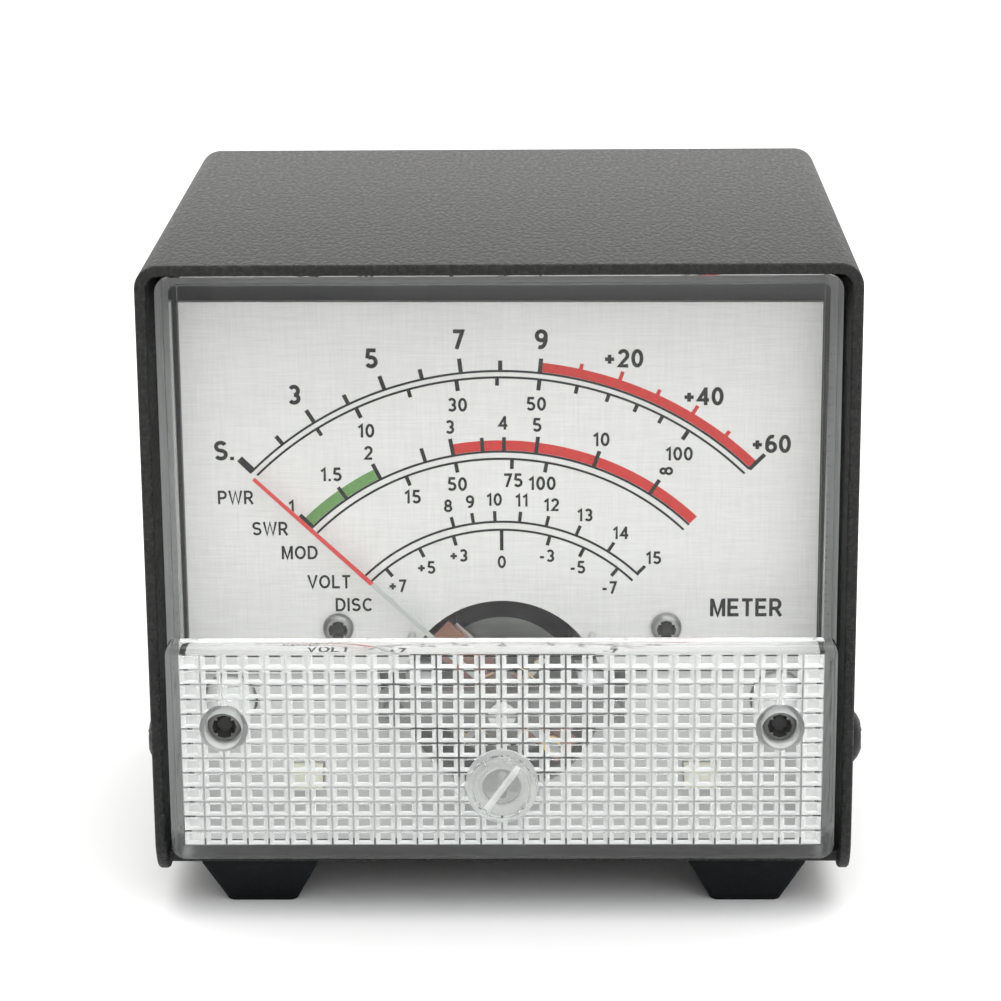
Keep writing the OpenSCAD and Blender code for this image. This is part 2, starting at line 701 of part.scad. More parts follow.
// Small board clamped on the meter's terminals
module circuit_board() color([0.1, 0.38, 0.2])
  along_y(board_y, board_back) difference() {
    round_rect(-18, 18, term_z - 12, term_z + 11, 1, 1);
    for (s = [-1, 1]) translate([s * term_x, term_z]) circle(2.15);
    for (x = [-12, -9]) translate([x, term_z - 10.5]) circle(0.65);
  }

module trimmer_body() color([0.15, 0.3, 0.7]) difference() {
  translate([-3.5, board_back, trimmer_z - 3.5]) cube([7, trimmer_h, 7]);
  rod(0, trimmer_z, board_back + trimmer_h - 0.9, board_back + trimmer_h + 1, 2.4);
}

// Slotted wheel of the calibration trimmer
module trimmer_rotor() color([0.92, 0.92, 0.88]) difference() {
  rod(0, trimmer_z, board_back + trimmer_h - 0.88, board_back + trimmer_h, 2.32);
  translate([-2, board_back + trimmer_h - 0.5, trimmer_z - 0.3]) cube([4, 1, 0.6]);
}

// Axial resistors with their leads bent down to the board
module resistors() color([0.8, 0.7, 0.5])
  for (x = [-10.5, 10.5]) {
    axis_y = board_back + 1.5;
    translate([x, axis_y, term_z - 7]) rotate([0, 90, 0]) {
      cylinder(r = 1.15, h = 6, center = true);
      cylinder(r = 0.3, h = 9, center = true);
    }
    for (s = [-1, 1]) rod(x + s * 4.2, term_z - 7, board_back, axis_y, 0.3);
  }

module capacitor() color([0.12, 0.14, 0.3]) rod(0, term_z + 5, board_back, board_back + 9, 3.15);

// ---------- sockets and inner leads ----------

// 3.5 mm socket: body inside, threaded collar through the rear panel
module signal_jack() color([0.12, 0.12, 0.12]) {
  difference() {
    union() {
      rod(-jack_x, jack_z, jack_in, panel_in, 4.2);
      rod(-jack_x, jack_z, panel_in, rear_y + rear_proud, 3);
    }
    rod(-jack_x, jack_z, rear_y + rear_proud - 14, rear_y + rear_proud + 1, plug_bore_r);
  }
  for (s = [-1, 1]) translate([-jack_x + s * 2.2 - 0.9, jack_in - 4, jack_z - 0.2]) cube([1.8, 4, 0.4]);
}

module signal_jack_nut() color([0.75, 0.75, 0.76])
  along_y(rear_y, rear_y + 2) translate([-jack_x, jack_z]) difference() {
    circle(4.4);
    circle(3.02);
  }

// Lamp supply socket: flange outside, threaded barrel through the panel, contact pin in the middle
module power_jack() color([0.1, 0.1, 0.1]) {
  difference() {
    union() {
      rod(jack_x, jack_z, jack_in, rear_y, 4);
      rod(jack_x, jack_z, rear_y, rear_y + 2, 5.5);
    }
    rod(jack_x, jack_z, rear_y - 7.5, rear_y + 3, 3.2);
  }
  rod(jack_x, jack_z, rear_y - 8, rear_y + 1, 1.05);
  for (s = [-1, 1]) translate([jack_x + s * 2.2 - 0.9, jack_in - 4, jack_z - 0.2]) cube([1.8, 4, 0.4]);
}

module power_jack_nut() color([0.75, 0.75, 0.76])
  hex_nut(jack_x, jack_z, panel_in - 2.5, panel_in, 10, 4.02);

// Two wires from the circuit board to the signal socket
module signal_leads() color([0.75, 0.1, 0.1]) {
  tag_y = jack_in - 4;
  for (k = [0, 1]) {
    pad_x = k == 0 ? -12 : -9;
    tag_x = -jack_x + (k == 0 ? -2.2 : 2.2);
    wire([
      [pad_x, board_back + 0.05, term_z - 10.5],
      [pad_x, board_back + 3, term_z - 11],
      [pad_x - 1, board_back + 6, jack_z + 8],
      [tag_x, tag_y - 5, jack_z + 2.5],
      [tag_x, tag_y - 2, jack_z + 0.4],
      [tag_x, tag_y - 0.15, jack_z]
    ], 0.55);
  }
}

// Wires from the supply socket through the base to each lamp board. The right lamp's wires reach
// the tags from above and the left lamp's from below.
module lamp_leads() color([0.15, 0.15, 0.6]) {
  tag_y = jack_in - 4;
  board_rear = diffuser_y + diffuser_t + 0.8;
  for (s = [-1, 1], k = [-1, 1]) {
    tag_x = jack_x + k * 2.2;
    wire_z = lamp_z + k * 0.75;
    approach_z = jack_z + (s > 0 ? 0.5 + 1.5 * k : -5.7 + 1.5 * k);
    wire([
      [s * lamp_x, board_rear + 0.05, wire_z],
      [s * lamp_x, board_rear + 6, wire_z],
      [s * lamp_x, floor_y - 6, wire_z],
      [s * lamp_x, barrel_y + 2, wire_z],
      [s * (lamp_x - 1), barrel_y + 7, wire_z + 1 + k],
      [tag_x, tag_y - 5, approach_z],
      [tag_x, tag_y - 2, jack_z + s * 1.1],
      [tag_x, tag_y, jack_z + s * 0.85],
      [tag_x, tag_y + 2.5, jack_z + s * 0.65]
    ], 0.4);
  }
}

case_cover();
case_chassis();
meter_panel();
side_screws();
bracket_screws();
rubber_feet();
meter_cover();
cover_screws();
zero_adjuster();
meter_base();
mounting_studs();
mounting_washers();
mounting_nuts();
dial_plate();
dial_screws();
dial_pillars();
pointer_stops();
diffuser_panel();
lamp_boards();
lamps();
yoke_ring();
yoke_screws();
core_magnet();
core_spacers();
front_pillars();
front_bridge();
front_bridge_screws();
rear_pillars();
rear_bridge();
rear_bridge_screws();
front_jewel_screw();
rear_jewel_screw();
jewel_lock_nuts();
zero_lever();
pointer();
balance_weights();
coil_former();
coil_winding();
front_staff();
rear_staff();
front_hairspring();
rear_hairspring();
terminal_studs();
terminal_nuts();
terminal_washers();
circuit_board();
trimmer_body();
trimmer_rotor();
resistors();
capacitor();
signal_jack();
signal_jack_nut();
power_jack();
power_jack_nut();
signal_leads();
lamp_leads();
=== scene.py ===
"""Looks for a desk-top moving-coil meter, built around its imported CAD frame.

The viewer faces +Y, +X is to the right and +Z is up. Shapes are laid out in millimetres and turned
into metres when a mesh is made.
"""

import json
import math

import bmesh
import bpy
from mathutils import Matrix, Vector


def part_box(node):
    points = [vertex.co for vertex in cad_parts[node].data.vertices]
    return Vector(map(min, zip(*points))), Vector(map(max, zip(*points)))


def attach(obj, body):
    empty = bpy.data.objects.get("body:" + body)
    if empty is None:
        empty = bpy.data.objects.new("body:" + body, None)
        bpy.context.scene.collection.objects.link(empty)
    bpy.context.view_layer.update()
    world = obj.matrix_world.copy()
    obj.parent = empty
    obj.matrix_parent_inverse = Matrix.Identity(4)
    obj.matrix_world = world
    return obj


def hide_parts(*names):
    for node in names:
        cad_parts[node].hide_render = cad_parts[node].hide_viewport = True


MM = 0.001
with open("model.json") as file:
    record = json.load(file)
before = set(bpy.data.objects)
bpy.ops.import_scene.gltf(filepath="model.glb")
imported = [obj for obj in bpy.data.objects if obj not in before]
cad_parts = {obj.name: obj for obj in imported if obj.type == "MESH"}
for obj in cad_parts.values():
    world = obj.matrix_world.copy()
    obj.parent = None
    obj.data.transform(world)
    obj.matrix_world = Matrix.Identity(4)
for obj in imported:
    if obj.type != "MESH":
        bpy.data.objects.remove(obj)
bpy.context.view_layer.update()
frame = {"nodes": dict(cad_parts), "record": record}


# ---------- sizes ----------


def span(node):
    """Lowest and highest corner of a CAD node, in millimetres."""
    low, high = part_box(node)
    return [v / MM for v in low], [v / MM for v in high]


cover_low, cover_high = span("case_cover")
meter_low, meter_high = span("meter_cover")
dial_low, _ = span("dial_plate")
staff_low, staff_high = span("front_staff")
adjuster_low, adjuster_high = span("zero_adjuster")

FRONT_Y, REAR_Y = cover_low[1], cover_high[1]
SHEET = 1.2
BEND_R = 2.5
SIDE_CORNER_R = 5
FOOT_TOP = 12.7
FOOT_BASE = 7.8
METER_X = meter_high[0]
METER_Z0, METER_Z1 = meter_low[2], meter_high[2]
SKIRT_Y = meter_high[1]
LEDGE_Z = METER_Z0 + 24.2
LEDGE_R = 1.1
LOWER_FRONT = FRONT_Y - 1.5
WINDOW_FRONT = FRONT_Y + 0.8
WINDOW_T = 2.0
CLEAR_WALL = 1.3
RIM_FRONT = meter_low[1]
BOSS_X, BOSS_Z, BOSS_R = 29.6, METER_Z0 + 14.55, 2.6
HEAD_HOLE_R, SHANK_HOLE_R = 2, 1.4
SCREW_SEAT = FRONT_Y + 1.08
ADJUSTER_Z = METER_Z0 + 8.1
ADJUSTER_R = 3.08
ADJUSTER_RIM = 3.75
STEM_R, STEM_COLLAR_R, STEM_HOLE_R = 2, 2.4, 2.07
PIVOT_Z = (staff_low[2] + staff_high[2]) / 2
DIAL_Y = dial_low[1]
DIAL_ARC_Z = METER_Z0 + 13.6
INK_T = 0.03
STROKE_LIFT = 0.003


# ---------- mesh helpers ----------


def mesh_object(name, bm, material=None):
    """A linked object from a bmesh that was laid out in millimetres."""
    bmesh.ops.scale(bm, vec=(MM, MM, MM), verts=bm.verts)
    bmesh.ops.recalc_face_normals(bm, faces=bm.faces)
    mesh = bpy.data.meshes.new(name)
    bm.to_mesh(mesh)
    bm.free()
    obj = bpy.data.objects.new(name, mesh)
    bpy.context.scene.collection.objects.link(obj)
    if material:
        mesh.materials.append(material)
    return obj


def shade(obj, angle=35):
    """Smooth shading that keeps edges sharper than the angle."""
    obj.data.shade_smooth()
    obj.data.set_sharp_from_angle(angle=math.radians(angle))
    return obj


def apply_modifiers(obj):
    bpy.context.view_layer.update()
    evaluated = obj.evaluated_get(bpy.context.evaluated_depsgraph_get())
    mesh = bpy.data.meshes.new_from_object(evaluated)
    obj.modifiers.clear()
    obj.data = mesh
    return obj


def bevel(obj, width, segments=3, angle=40):
    modifier = obj.modifiers.new("bevel", "BEVEL")
    modifier.width = width * MM
    modifier.segments = segments
    modifier.limit_method = "ANGLE"
    modifier.angle_limit = math.radians(angle)
    modifier.use_clamp_overlap = True
    return apply_modifiers(obj)


def boolean(obj, other, operation):
    """Joins another closed mesh to obj or cuts it away, then deletes it."""
    modifier = obj.modifiers.new("boolean", "BOOLEAN")
    modifier.object = other
    modifier.operation = operation
    modifier.solver = "EXACT"
    apply_modifiers(obj)
    bpy.data.objects.remove(other)
    return obj


def round_rect(x0, x1, z0, z1, top_r, bottom_r, steps=6):
    """Outline of a rectangle in x and z with round corners, counter-clockwise."""
    corners = [
        (x1 - bottom_r, z0 + bottom_r, bottom_r, -90),
        (x1 - top_r, z1 - top_r, top_r, 0),
        (x0 + top_r, z1 - top_r, top_r, 90),
        (x0 + bottom_r, z0 + bottom_r, bottom_r, 180),
    ]
    points = []
    for cx, cz, r, start in corners:
        count = steps if r > 0 else 0
        for i in range(count + 1):
            a = math.radians(start + 90 * i / max(count, 1))
            points.append((cx + r * math.cos(a), cz + r * math.sin(a)))
    return points


def prism(name, outline, y0, y1, material=None):
    """A closed solid: an outline in x and z carried from y0 to y1."""
    bm = bmesh.new()
    front = [bm.verts.new((x, y0, z)) for x, z in outline]
    back = [bm.verts.new((x, y1, z)) for x, z in outline]
    count = len(outline)
    for i in range(count):
        j = (i + 1) % count
        bm.faces.new((front[i], front[j], back[j], back[i]))
    bm.faces.new(front)
    bm.faces.new(list(reversed(back)))
    return mesh_object(name, bm, material)


def side_prism(name, outline, x0, x1, material=None):
    """A closed solid: an outline in y and z carried from x0 to x1."""
    solid = prism(name, outline, -x1, -x0, material)
    solid.data.transform(Matrix.Rotation(math.pi / 2, 4, "Z"))
    return solid


def lathe(name, profile, place, material=None, segments=48):
    """A turned solid. The profile is a list of (radius, height) from axis to axis; place puts it."""
    bm = bmesh.new()
    rings = []
    for r, h in profile:
        if r == 0:
            rings.append([bm.verts.new((0, 0, h))])
            continue
        turn = [2 * math.pi * i / segments for i in range(segments)]
        rings.append([bm.verts.new((r * math.cos(a), r * math.sin(a), h)) for a in turn])
    for low, high in zip(rings, rings[1:]):
        for i in range(segments):
            j = (i + 1) % segments
            quad = [low[i % len(low)], low[j % len(low)], high[j % len(high)], high[i % len(high)]]
            face = list(dict.fromkeys(quad))
            if len(face) > 2:
                bm.faces.new(face)
    bmesh.ops.transform(bm, matrix=place, verts=bm.verts)
    return mesh_object(name, bm, material)


def rod(name, x, z, y0, y1, r, material=None, segments=48):
    place = Matrix.Translation((x, y1, z)) @ Matrix.Rotation(math.pi / 2, 4, "X")
    return lathe(name, [(0, 0), (r, 0), (r, y1 - y0), (0, y1 - y0)], place, material, segments)


def facing(x, y, z, direction):
    """Placement of a z-up shape so that its top faces front, rear, left or right."""
    turn = {
        "front": Matrix.Rotation(math.pi / 2, 4, "X"),
        "rear": Matrix.Rotation(-math.pi / 2, 4, "X"),
        "left": Matrix.Rotation(-math.pi / 2, 4, "Y"),
        "right": Matrix.Rotation(math.pi / 2, 4, "Y"),
    }[direction]
    return Matrix.Translation((x, y, z)) @ turn


def two_looks(obj, first, second):
    """Gives a part the same two materials as the solid it works on, and its own faces the second."""
    obj.data.materials.clear()
    obj.data.materials.append(first)
    obj.data.materials.append(second)
    for polygon in obj.data.polygons:
        polygon.material_index = 1
    return obj


def join(name, objects):
    """One object out of several, with their materials kept."""
    bpy.ops.object.select_all(action="DESELECT")
    for obj in objects:
        obj.select_set(True)
    bpy.context.view_layer.objects.active = objects[0]
    if len(objects) > 1:
        bpy.ops.object.join()
    objects[0].name = name
    return objects[0]


# ---------- materials ----------


class Look:
    """A material's node tree, with short calls for the nodes that are used here."""

    def __init__(self, name, color, roughness, metallic=0.0, **sockets):
        self.material = bpy.data.materials.new(name)
        self.material.use_nodes = True
        self.tree = self.material.node_tree
        self.shader = self.tree.nodes["Principled BSDF"]
        self.shader.inputs["Base Color"].default_value = (*color, 1)
        self.shader.inputs["Roughness"].default_value = roughness
        self.shader.inputs["Metallic"].default_value = metallic
        for socket, value in sockets.items():
            self.shader.inputs[socket.replace("_", " ")].default_value = value
        self.place = self.node("ShaderNodeTexCoord").outputs["Object"]

    def node(self, kind, **settings):
        node = self.tree.nodes.new(kind)
        for key, value in settings.items():
            setattr(node, key, value)
        return node

    def link(self, source, target):
        self.tree.links.new(source, target)
        return target

    def stretched(self, x, y, z):
        """Object coordinates, scaled to grains per metre along each axis."""
        node = self.node("ShaderNodeMapping")
        self.link(self.place, node.inputs["Vector"])
        node.inputs["Scale"].default_value = (x, y, z)
        return node.outputs["Vector"]

    def noise(self, vector, scale=1.0, detail=3.0, roughness=0.5):
        node = self.node("ShaderNodeTexNoise")
        self.link(vector, node.inputs["Vector"])
        node.inputs["Scale"].default_value = scale
        node.inputs["Detail"].default_value = detail
        node.inputs["Roughness"].default_value = roughness
        return node.outputs["Fac"]

    def cells(self, vector, scale, feature="F1"):
        node = self.node("ShaderNodeTexVoronoi", feature=feature)
        self.link(vector, node.inputs["Vector"])
        node.inputs["Scale"].default_value = scale
        return node

    def ramp(self, value, stops):
        """A colour ramp; each stop is (position, (r, g, b))."""
        node = self.node("ShaderNodeValToRGB")
        self.link(value, node.inputs["Fac"])
        elements = node.color_ramp.elements
        while len(elements) < len(stops):
            elements.new(0.5)
        for element, (position, color) in zip(elements, stops):
            element.position = position
            element.color = (*color, 1)
        return node.outputs["Color"]

    def span(self, value, low, high, start=0.3, end=0.7):
        """Value rescaled from start..end to low..high."""
        node = self.node("ShaderNodeMapRange")
        self.link(value, node.inputs["Value"])
        for name, number in zip(("From Min", "From Max", "To Min", "To Max"), (start, end, low, high)):
            node.inputs[name].default_value = number
        return node.outputs["Result"]

    def color(self, output):
        self.link(output, self.shader.inputs["Base Color"])
        return self

    def rough(self, output):
        self.link(output, self.shader.inputs["Roughness"])
        return self

    def bump(self, height, depth_mm, strength=1.0):
        node = self.node("ShaderNodeBump")
        node.inputs["Strength"].default_value = strength
        node.inputs["Distance"].default_value = depth_mm * MM
        self.link(height, node.inputs["Height"])
        self.link(node.outputs["Normal"], self.shader.inputs["Normal"])
        return self


def tone(color, factor):
    return tuple(min(1.0, c * factor) for c in color)


def powder_coat(name, color):
    """Textured powder coat: fine raised grains with a slightly uneven sheen."""
    look = Look(name, color, 0.5, Specular_IOR_Level=0.32)
    grain = look.noise(look.stretched(2300, 850, 2300), 1.0, 3, 0.6)
    look.color(look.ramp(grain, [(0.34, tone(color, 0.4)), (0.5, color), (0.68, tone(color, 2.6))]))
    look.rough(look.span(grain, 0.4, 0.6))
    return look.bump(grain, 0.4, 1.0).material


def painted(name, color, roughness, **sockets):
    look = Look(name, color, roughness, **sockets)
    grain = look.noise(look.place, 1500, 3)
    look.color(look.ramp(grain, [(0.3, tone(color, 0.8)), (0.7, tone(color, 1.3))]))
    look.rough(look.span(grain, roughness - 0.06, roughness + 0.08))
    return look.bump(grain, 0.03, 0.4).material


def rubber(name, color):
    look = Look(name, color, 0.72, Specular_IOR_Level=0.12)
    grain = look.noise(look.place, 1800, 4, 0.7)
    dust = look.noise(look.place, 180, 5, 0.65)
    look.color(look.ramp(dust, [(0.35, color), (0.62, tone(color, 1.5)), (0.75, tone(color, 3.0))]))
    look.rough(look.span(grain, 0.66, 0.82))
    return look.bump(grain, 0.05, 0.5).material


def moulded(name, color, roughness):
    """Injection-moulded plastic with a fine spark-eroded texture."""
    look = Look(name, color, roughness)
    grain = look.noise(look.place, 3200, 2)
    drift = look.noise(look.place, 90, 2)
    look.color(look.ramp(drift, [(0.3, tone(color, 0.88)), (0.7, tone(color, 1.12))]))
    look.rough(look.span(grain, roughness - 0.05, roughness + 0.08))
    return look.bump(grain, 0.02, 0.35).material


def metal(name, color, roughness, along=(300, 300, 300), depth=0.004):
    """Worked metal: streaks along the long grain direction and a slightly clouded surface."""
    look = Look(name, color, roughness, 1.0)
    streak = look.noise(look.stretched(*along), 1.0, 4, 0.6)
    cloud = look.noise(look.place, 240, 4)
    look.color(look.ramp(cloud, [(0.3, tone(color, 0.86)), (0.7, tone(color, 1.1))]))
    look.rough(look.span(streak, roughness - 0.07, roughness + 0.12))
    return look.bump(streak, depth, 0.5).material


def spangled_zinc(name, color):
    look = Look(name, color, 0.42, 0.9)
    flake = look.cells(look.place, 420)
    look.color(look.ramp(flake.outputs["Color"], [(0.1, tone(color, 0.82)), (0.9, tone(color, 1.15))]))
    look.rough(look.span(flake.outputs["Distance"], 0.36, 0.5, 0.0, 1.0))
    return look.bump(flake.outputs["Distance"], 0.006, 0.4).material


def copper_winding(name, color):
    """Enamelled wire laid side by side round the coil, seen as fine ridges across its width."""
    look = Look(name, color, 0.28, 0.85, Coat_Weight=0.6, Coat_Roughness=0.15)
    turns = look.node("ShaderNodeTexWave", wave_type="BANDS", bands_direction="DIAGONAL")
    look.link(look.stretched(2600, 0, 2600), turns.inputs["Vector"])
    turns.inputs["Scale"].default_value = 1.0
    turns.inputs["Distortion"].default_value = 0.4
    cloud = look.noise(look.place, 500, 3)
    look.color(look.ramp(cloud, [(0.3, tone(color, 0.75)), (0.7, tone(color, 1.25))]))
    return look.bump(turns.outputs["Fac"], 0.05, 0.8).material


def brushed_dial(name, color):
    """Pale lacquered dial whose metal was brushed from side to side."""
    look = Look(name, color, 0.5, 0.25)
    fine = look.noise(look.stretched(260, 260, 6500), 1.0, 5, 0.7)
    cross = look.noise(look.stretched(5200, 260, 240), 1.0, 3, 0.6)
    both = look.node("ShaderNodeMix", data_type="FLOAT")
    both.inputs["Factor"].default_value = 0.35
    look.link(fine, both.inputs["A"])
    look.link(cross, both.inputs["B"])
    grain = both.outputs["Result"]
    look.color(look.ramp(grain, [(0.32, tone(color, 0.88)), (0.68, tone(color, 1.08))]))
    look.rough(look.span(grain, 0.42, 0.6))
    return look.bump(grain, 0.004, 0.5).material


def ink(name, color):
    look = Look(name, color, 0.5, Specular_IOR_Level=0.12)
    grain = look.noise(look.place, 5200, 3)
    look.color(look.ramp(grain, [(0.35, tone(color, 0.85)), (0.7, tone(color, 1.18))]))
    return look.bump(grain, 0.01, 0.4).material


def pointer_paint(name, bare, red, red_from_mm):
    """Pale lacquer near the pivot and red from a set radius out to the tip."""
    look = Look(name, bare, 0.42)
    gap = look.node("ShaderNodeVectorMath", operation="DISTANCE")
    flat = look.node("ShaderNodeVectorMath", operation="MULTIPLY")
    look.link(look.place, flat.inputs[0])
    flat.inputs[1].default_value = (1, 0, 1)
    look.link(flat.outputs["Vector"], gap.inputs[0])
    gap.inputs[1].default_value = (0, 0, PIVOT_Z * MM)
    grain = look.noise(look.place, 4000, 2)
    edge = red_from_mm * MM
    share = look.span(gap.outputs["Value"], 0, 1, edge - 0.0001, edge + 0.0001)
    paint = look.node("ShaderNodeMix", data_type="RGBA")
    look.link(share, paint.inputs["Factor"])
    paint.inputs["A"].default_value = (*bare, 1)
    look.link(look.ramp(grain, [(0.3, tone(red, 0.9)), (0.7, tone(red, 1.1))]), paint.inputs["B"])
    look.color(paint.outputs["Result"])
    return look.bump(grain, 0.01, 0.3).material


def circuit_board(name, color):
    """Solder mask over woven glass, with paler lines where copper runs beneath it."""
    look = Look(name, color, 0.3, Coat_Weight=0.4, Coat_Roughness=0.1)
    weave = look.noise(look.stretched(1800, 300, 1800), 1.0, 2)
    tracks = look.node("ShaderNodeTexBrick", offset=0.37)
    look.link(look.stretched(90, 90, 90), tracks.inputs["Vector"])
    tracks.inputs["Scale"].default_value = 1.0
    tracks.inputs["Mortar Size"].default_value = 0.03
    tracks.inputs["Color1"].default_value = (*color, 1)
    tracks.inputs["Color2"].default_value = (*tone(color, 0.85), 1)
    tracks.inputs["Mortar"].default_value = (*tone(color, 1.9), 1)
    look.color(tracks.outputs["Color"])
    return look.bump(weave, 0.01, 0.3).material


def see_through(look):
    """Lets lamp light through a clear material, so that what is behind it is lit."""
    output = look.tree.nodes["Material Output"]
    mix = look.node("ShaderNodeMixShader")
    rays = look.node("ShaderNodeLightPath")
    clear = look.node("ShaderNodeBsdfTransparent")
    clear.inputs["Color"].default_value = (0.94, 0.96, 0.96, 1)
    look.link(rays.outputs["Is Shadow Ray"], mix.inputs["Fac"])
    look.link(look.shader.outputs["BSDF"], mix.inputs[1])
    look.link(clear.outputs["BSDF"], mix.inputs[2])
    look.link(mix.outputs["Shader"], output.inputs["Surface"])
    return look.material


def clear_plastic(name, tint, roughness, transmission=1.0, bend=1.49):
    """Clear moulding with faint flow marks. Less transmission makes it cloudy."""
    look = Look(name, tint, roughness, Transmission_Weight=transmission, IOR=bend)
    flow = look.noise(look.stretched(70, 70, 160), 1.0, 3)
    look.color(look.ramp(flow, [(0.3, tone(tint, 0.97)), (0.7, tint)]))
    look.bump(flow, 0.02, 0.12)
    return see_through(look)


def lamp_lens(name, color):
    look = Look(name, color, 0.25, Subsurface_Weight=0.3)
    look.shader.inputs["Subsurface Radius"].default_value = (0.001, 0.0008, 0.0003)
    cloud = look.noise(look.place, 900, 2)
    look.color(look.ramp(cloud, [(0.3, tone(color, 0.9)), (0.7, tone(color, 1.08))]))
    return look.material


SLOT_LOOKS = {
    "black_powder_coat": powder_coat("powder_coat", (0.009, 0.009, 0.0086)),
    "black_screw": painted("black_oxide", (0.006, 0.006, 0.0065), 0.45, Specular_IOR_Level=0.22),
    "black_rubber": rubber("black_rubber", (0.0045, 0.005, 0.0058)),
    "clear_plastic": clear_plastic("clear_acrylic", (0.97, 0.985, 0.985), 0.015),
    "black_moulding": moulded("black_moulding", (0.02, 0.02, 0.022), 0.5),
    "white_moulding": moulded("white_moulding", (0.57, 0.57, 0.56), 0.45),
    "zinc_sheet": spangled_zinc("zinc_sheet", (0.58, 0.59, 0.6)),
    "plated_steel": metal("plated_steel", (0.62, 0.62, 0.6), 0.28),
    "brass": metal("turned_brass", (0.72, 0.52, 0.22), 0.26),
    "printed_dial": brushed_dial("brushed_dial", (0.78, 0.767, 0.752)),
    "pointer_metal": pointer_paint("pointer_paint", (0.5, 0.51, 0.49), (0.62, 0.026, 0.022), 19.2),
    "bare_aluminium": metal("bare_aluminium", (0.78, 0.78, 0.79), 0.3),
    "soft_iron": metal("soft_iron", (0.25, 0.26, 0.24), 0.45),
    "magnet_alloy": metal("magnet_alloy", (0.17, 0.175, 0.165), 0.42),
    "copper_wire": copper_winding("enamelled_copper", (0.34, 0.16, 0.11)),
    "spring_bronze": metal("spring_bronze", (0.75, 0.55, 0.3), 0.22),
    "lamp_lens": lamp_lens("lamp_lens", (0.74, 0.72, 0.6)),
    "board_green": circuit_board("solder_mask", (0.02, 0.14, 0.06)),
    "trimmer_blue": moulded("blue_moulding", (0.03, 0.1, 0.42), 0.35),
    "resistor_tan": painted("resistor_lacquer", (0.55, 0.42, 0.24), 0.3),
    "capacitor_sleeve": painted("capacitor_sleeve", (0.03, 0.035, 0.12), 0.25),
    "red_lead": moulded("red_insulation", (0.5, 0.02, 0.02), 0.4),
    "blue_lead": moulded("blue_insulation", (0.03, 0.05, 0.35), 0.4),
}
BLACK_INK = ink("black_ink", (0.006, 0.006, 0.0065))
RED_INK = ink("red_ink", (0.6, 0.028, 0.022))
GREEN_INK = ink("green_ink", (0.14, 0.31, 0.09))
WINDOW_LOOK = clear_plastic("window_acrylic", (0.98, 0.99, 0.985), 0.01, bend=1.33)
FACET_LOOK = clear_plastic("moulded_facets", (0.97, 0.97, 0.96), 0.28, 0.4)
CLOUDY_LOOK = clear_plastic("cloudy_acrylic", (0.84, 0.84, 0.83), 0.14, 0.85)
# painted shade: plated steel coloured dark grey, for the movement's front parts and the front screw heads
# that should look dim
SHADED_STEEL = metal("steel_with_painted_shade", (0.2, 0.2, 0.195), 0.4)
# darker steel; on the dial screws its darkness is painted shade, standing in for the dark surroundings that
# the plated heads reflect
SATIN_STEEL = metal("satin_steel", (0.34, 0.34, 0.33), 0.38)
# painted shadow: the cross recesses of the front and dial screws are coloured near black for the shade inside
# them
RECESS_SHADOW_LOOK = painted("recess_shadow", (0.02, 0.02, 0.02), 0.6)

slot_of = {part["node"]: part["material_slot"] for part in frame["record"]["subparts"]}
for node, obj in frame["nodes"].items():
    obj.data.materials.clear()
    obj.data.materials.append(SLOT_LOOKS[slot_of[node]])
# the movement's front parts get a darker steel, painted shade, so that they do not shine through the ridges
for node in ("front_bridge", "front_bridge_screws", "front_pillars", "jewel_lock_nuts", "zero_lever"):
    frame["nodes"][node].data.materials[0] = SHADED_STEEL
frame["nodes"]["signal_jack_nut"].data.materials[0] = SATIN_STEEL


def place_piece(obj, body, *nodes):
    """Puts a finished piece on its body and hides the CAD nodes that it stands for."""
    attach(obj, body)
    if nodes:
        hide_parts(*nodes)
    return obj


# ---------- housing ----------


def folded_cover():
    """Roof and sides as one folded sheet with softened edges."""
    x = cover_high[0]
    z0, z1 = cover_low[2], cover_high[2]
    inner_x = x - SHEET
    outer = round_rect(-x, x, z0, z1, BEND_R, 0, 10)
    inner = round_rect(-inner_x, inner_x, z0, z1 - SHEET, BEND_R - SHEET, 0, 10)
    # both outlines start at their lower right corner and end at their lower left one
    outline = outer + list(reversed(inner))
    coat = SLOT_LOOKS["black_powder_coat"]
    cover = prism("cover_sheet", outline, FRONT_Y - 1, REAR_Y + 1, coat)
    side = round_rect(FRONT_Y, REAR_Y, z0, z1 + 2, 0, SIDE_CORNER_R, 8)
    boolean(cover, side_prism("side_outline", side, -x - 1, x + 1, coat), "INTERSECT")
    return place_piece(shade(bevel(cover, 0.3, 3)), "housing", "case_cover")


def rounded_square_ring(half, corner_r, z, steps=5):
    points = []
    for start, sx, sy in ((0, 1, 1), (90, -1, 1), (180, -1, -1), (270, 1, -1)):
        for i in range(steps + 1):
            a = math.radians(start + 90 * i / steps)
            flat = half - corner_r
            points.append((sx * flat + corner_r * math.cos(a), sy * flat + corner_r * math.sin(a), z))
    return points


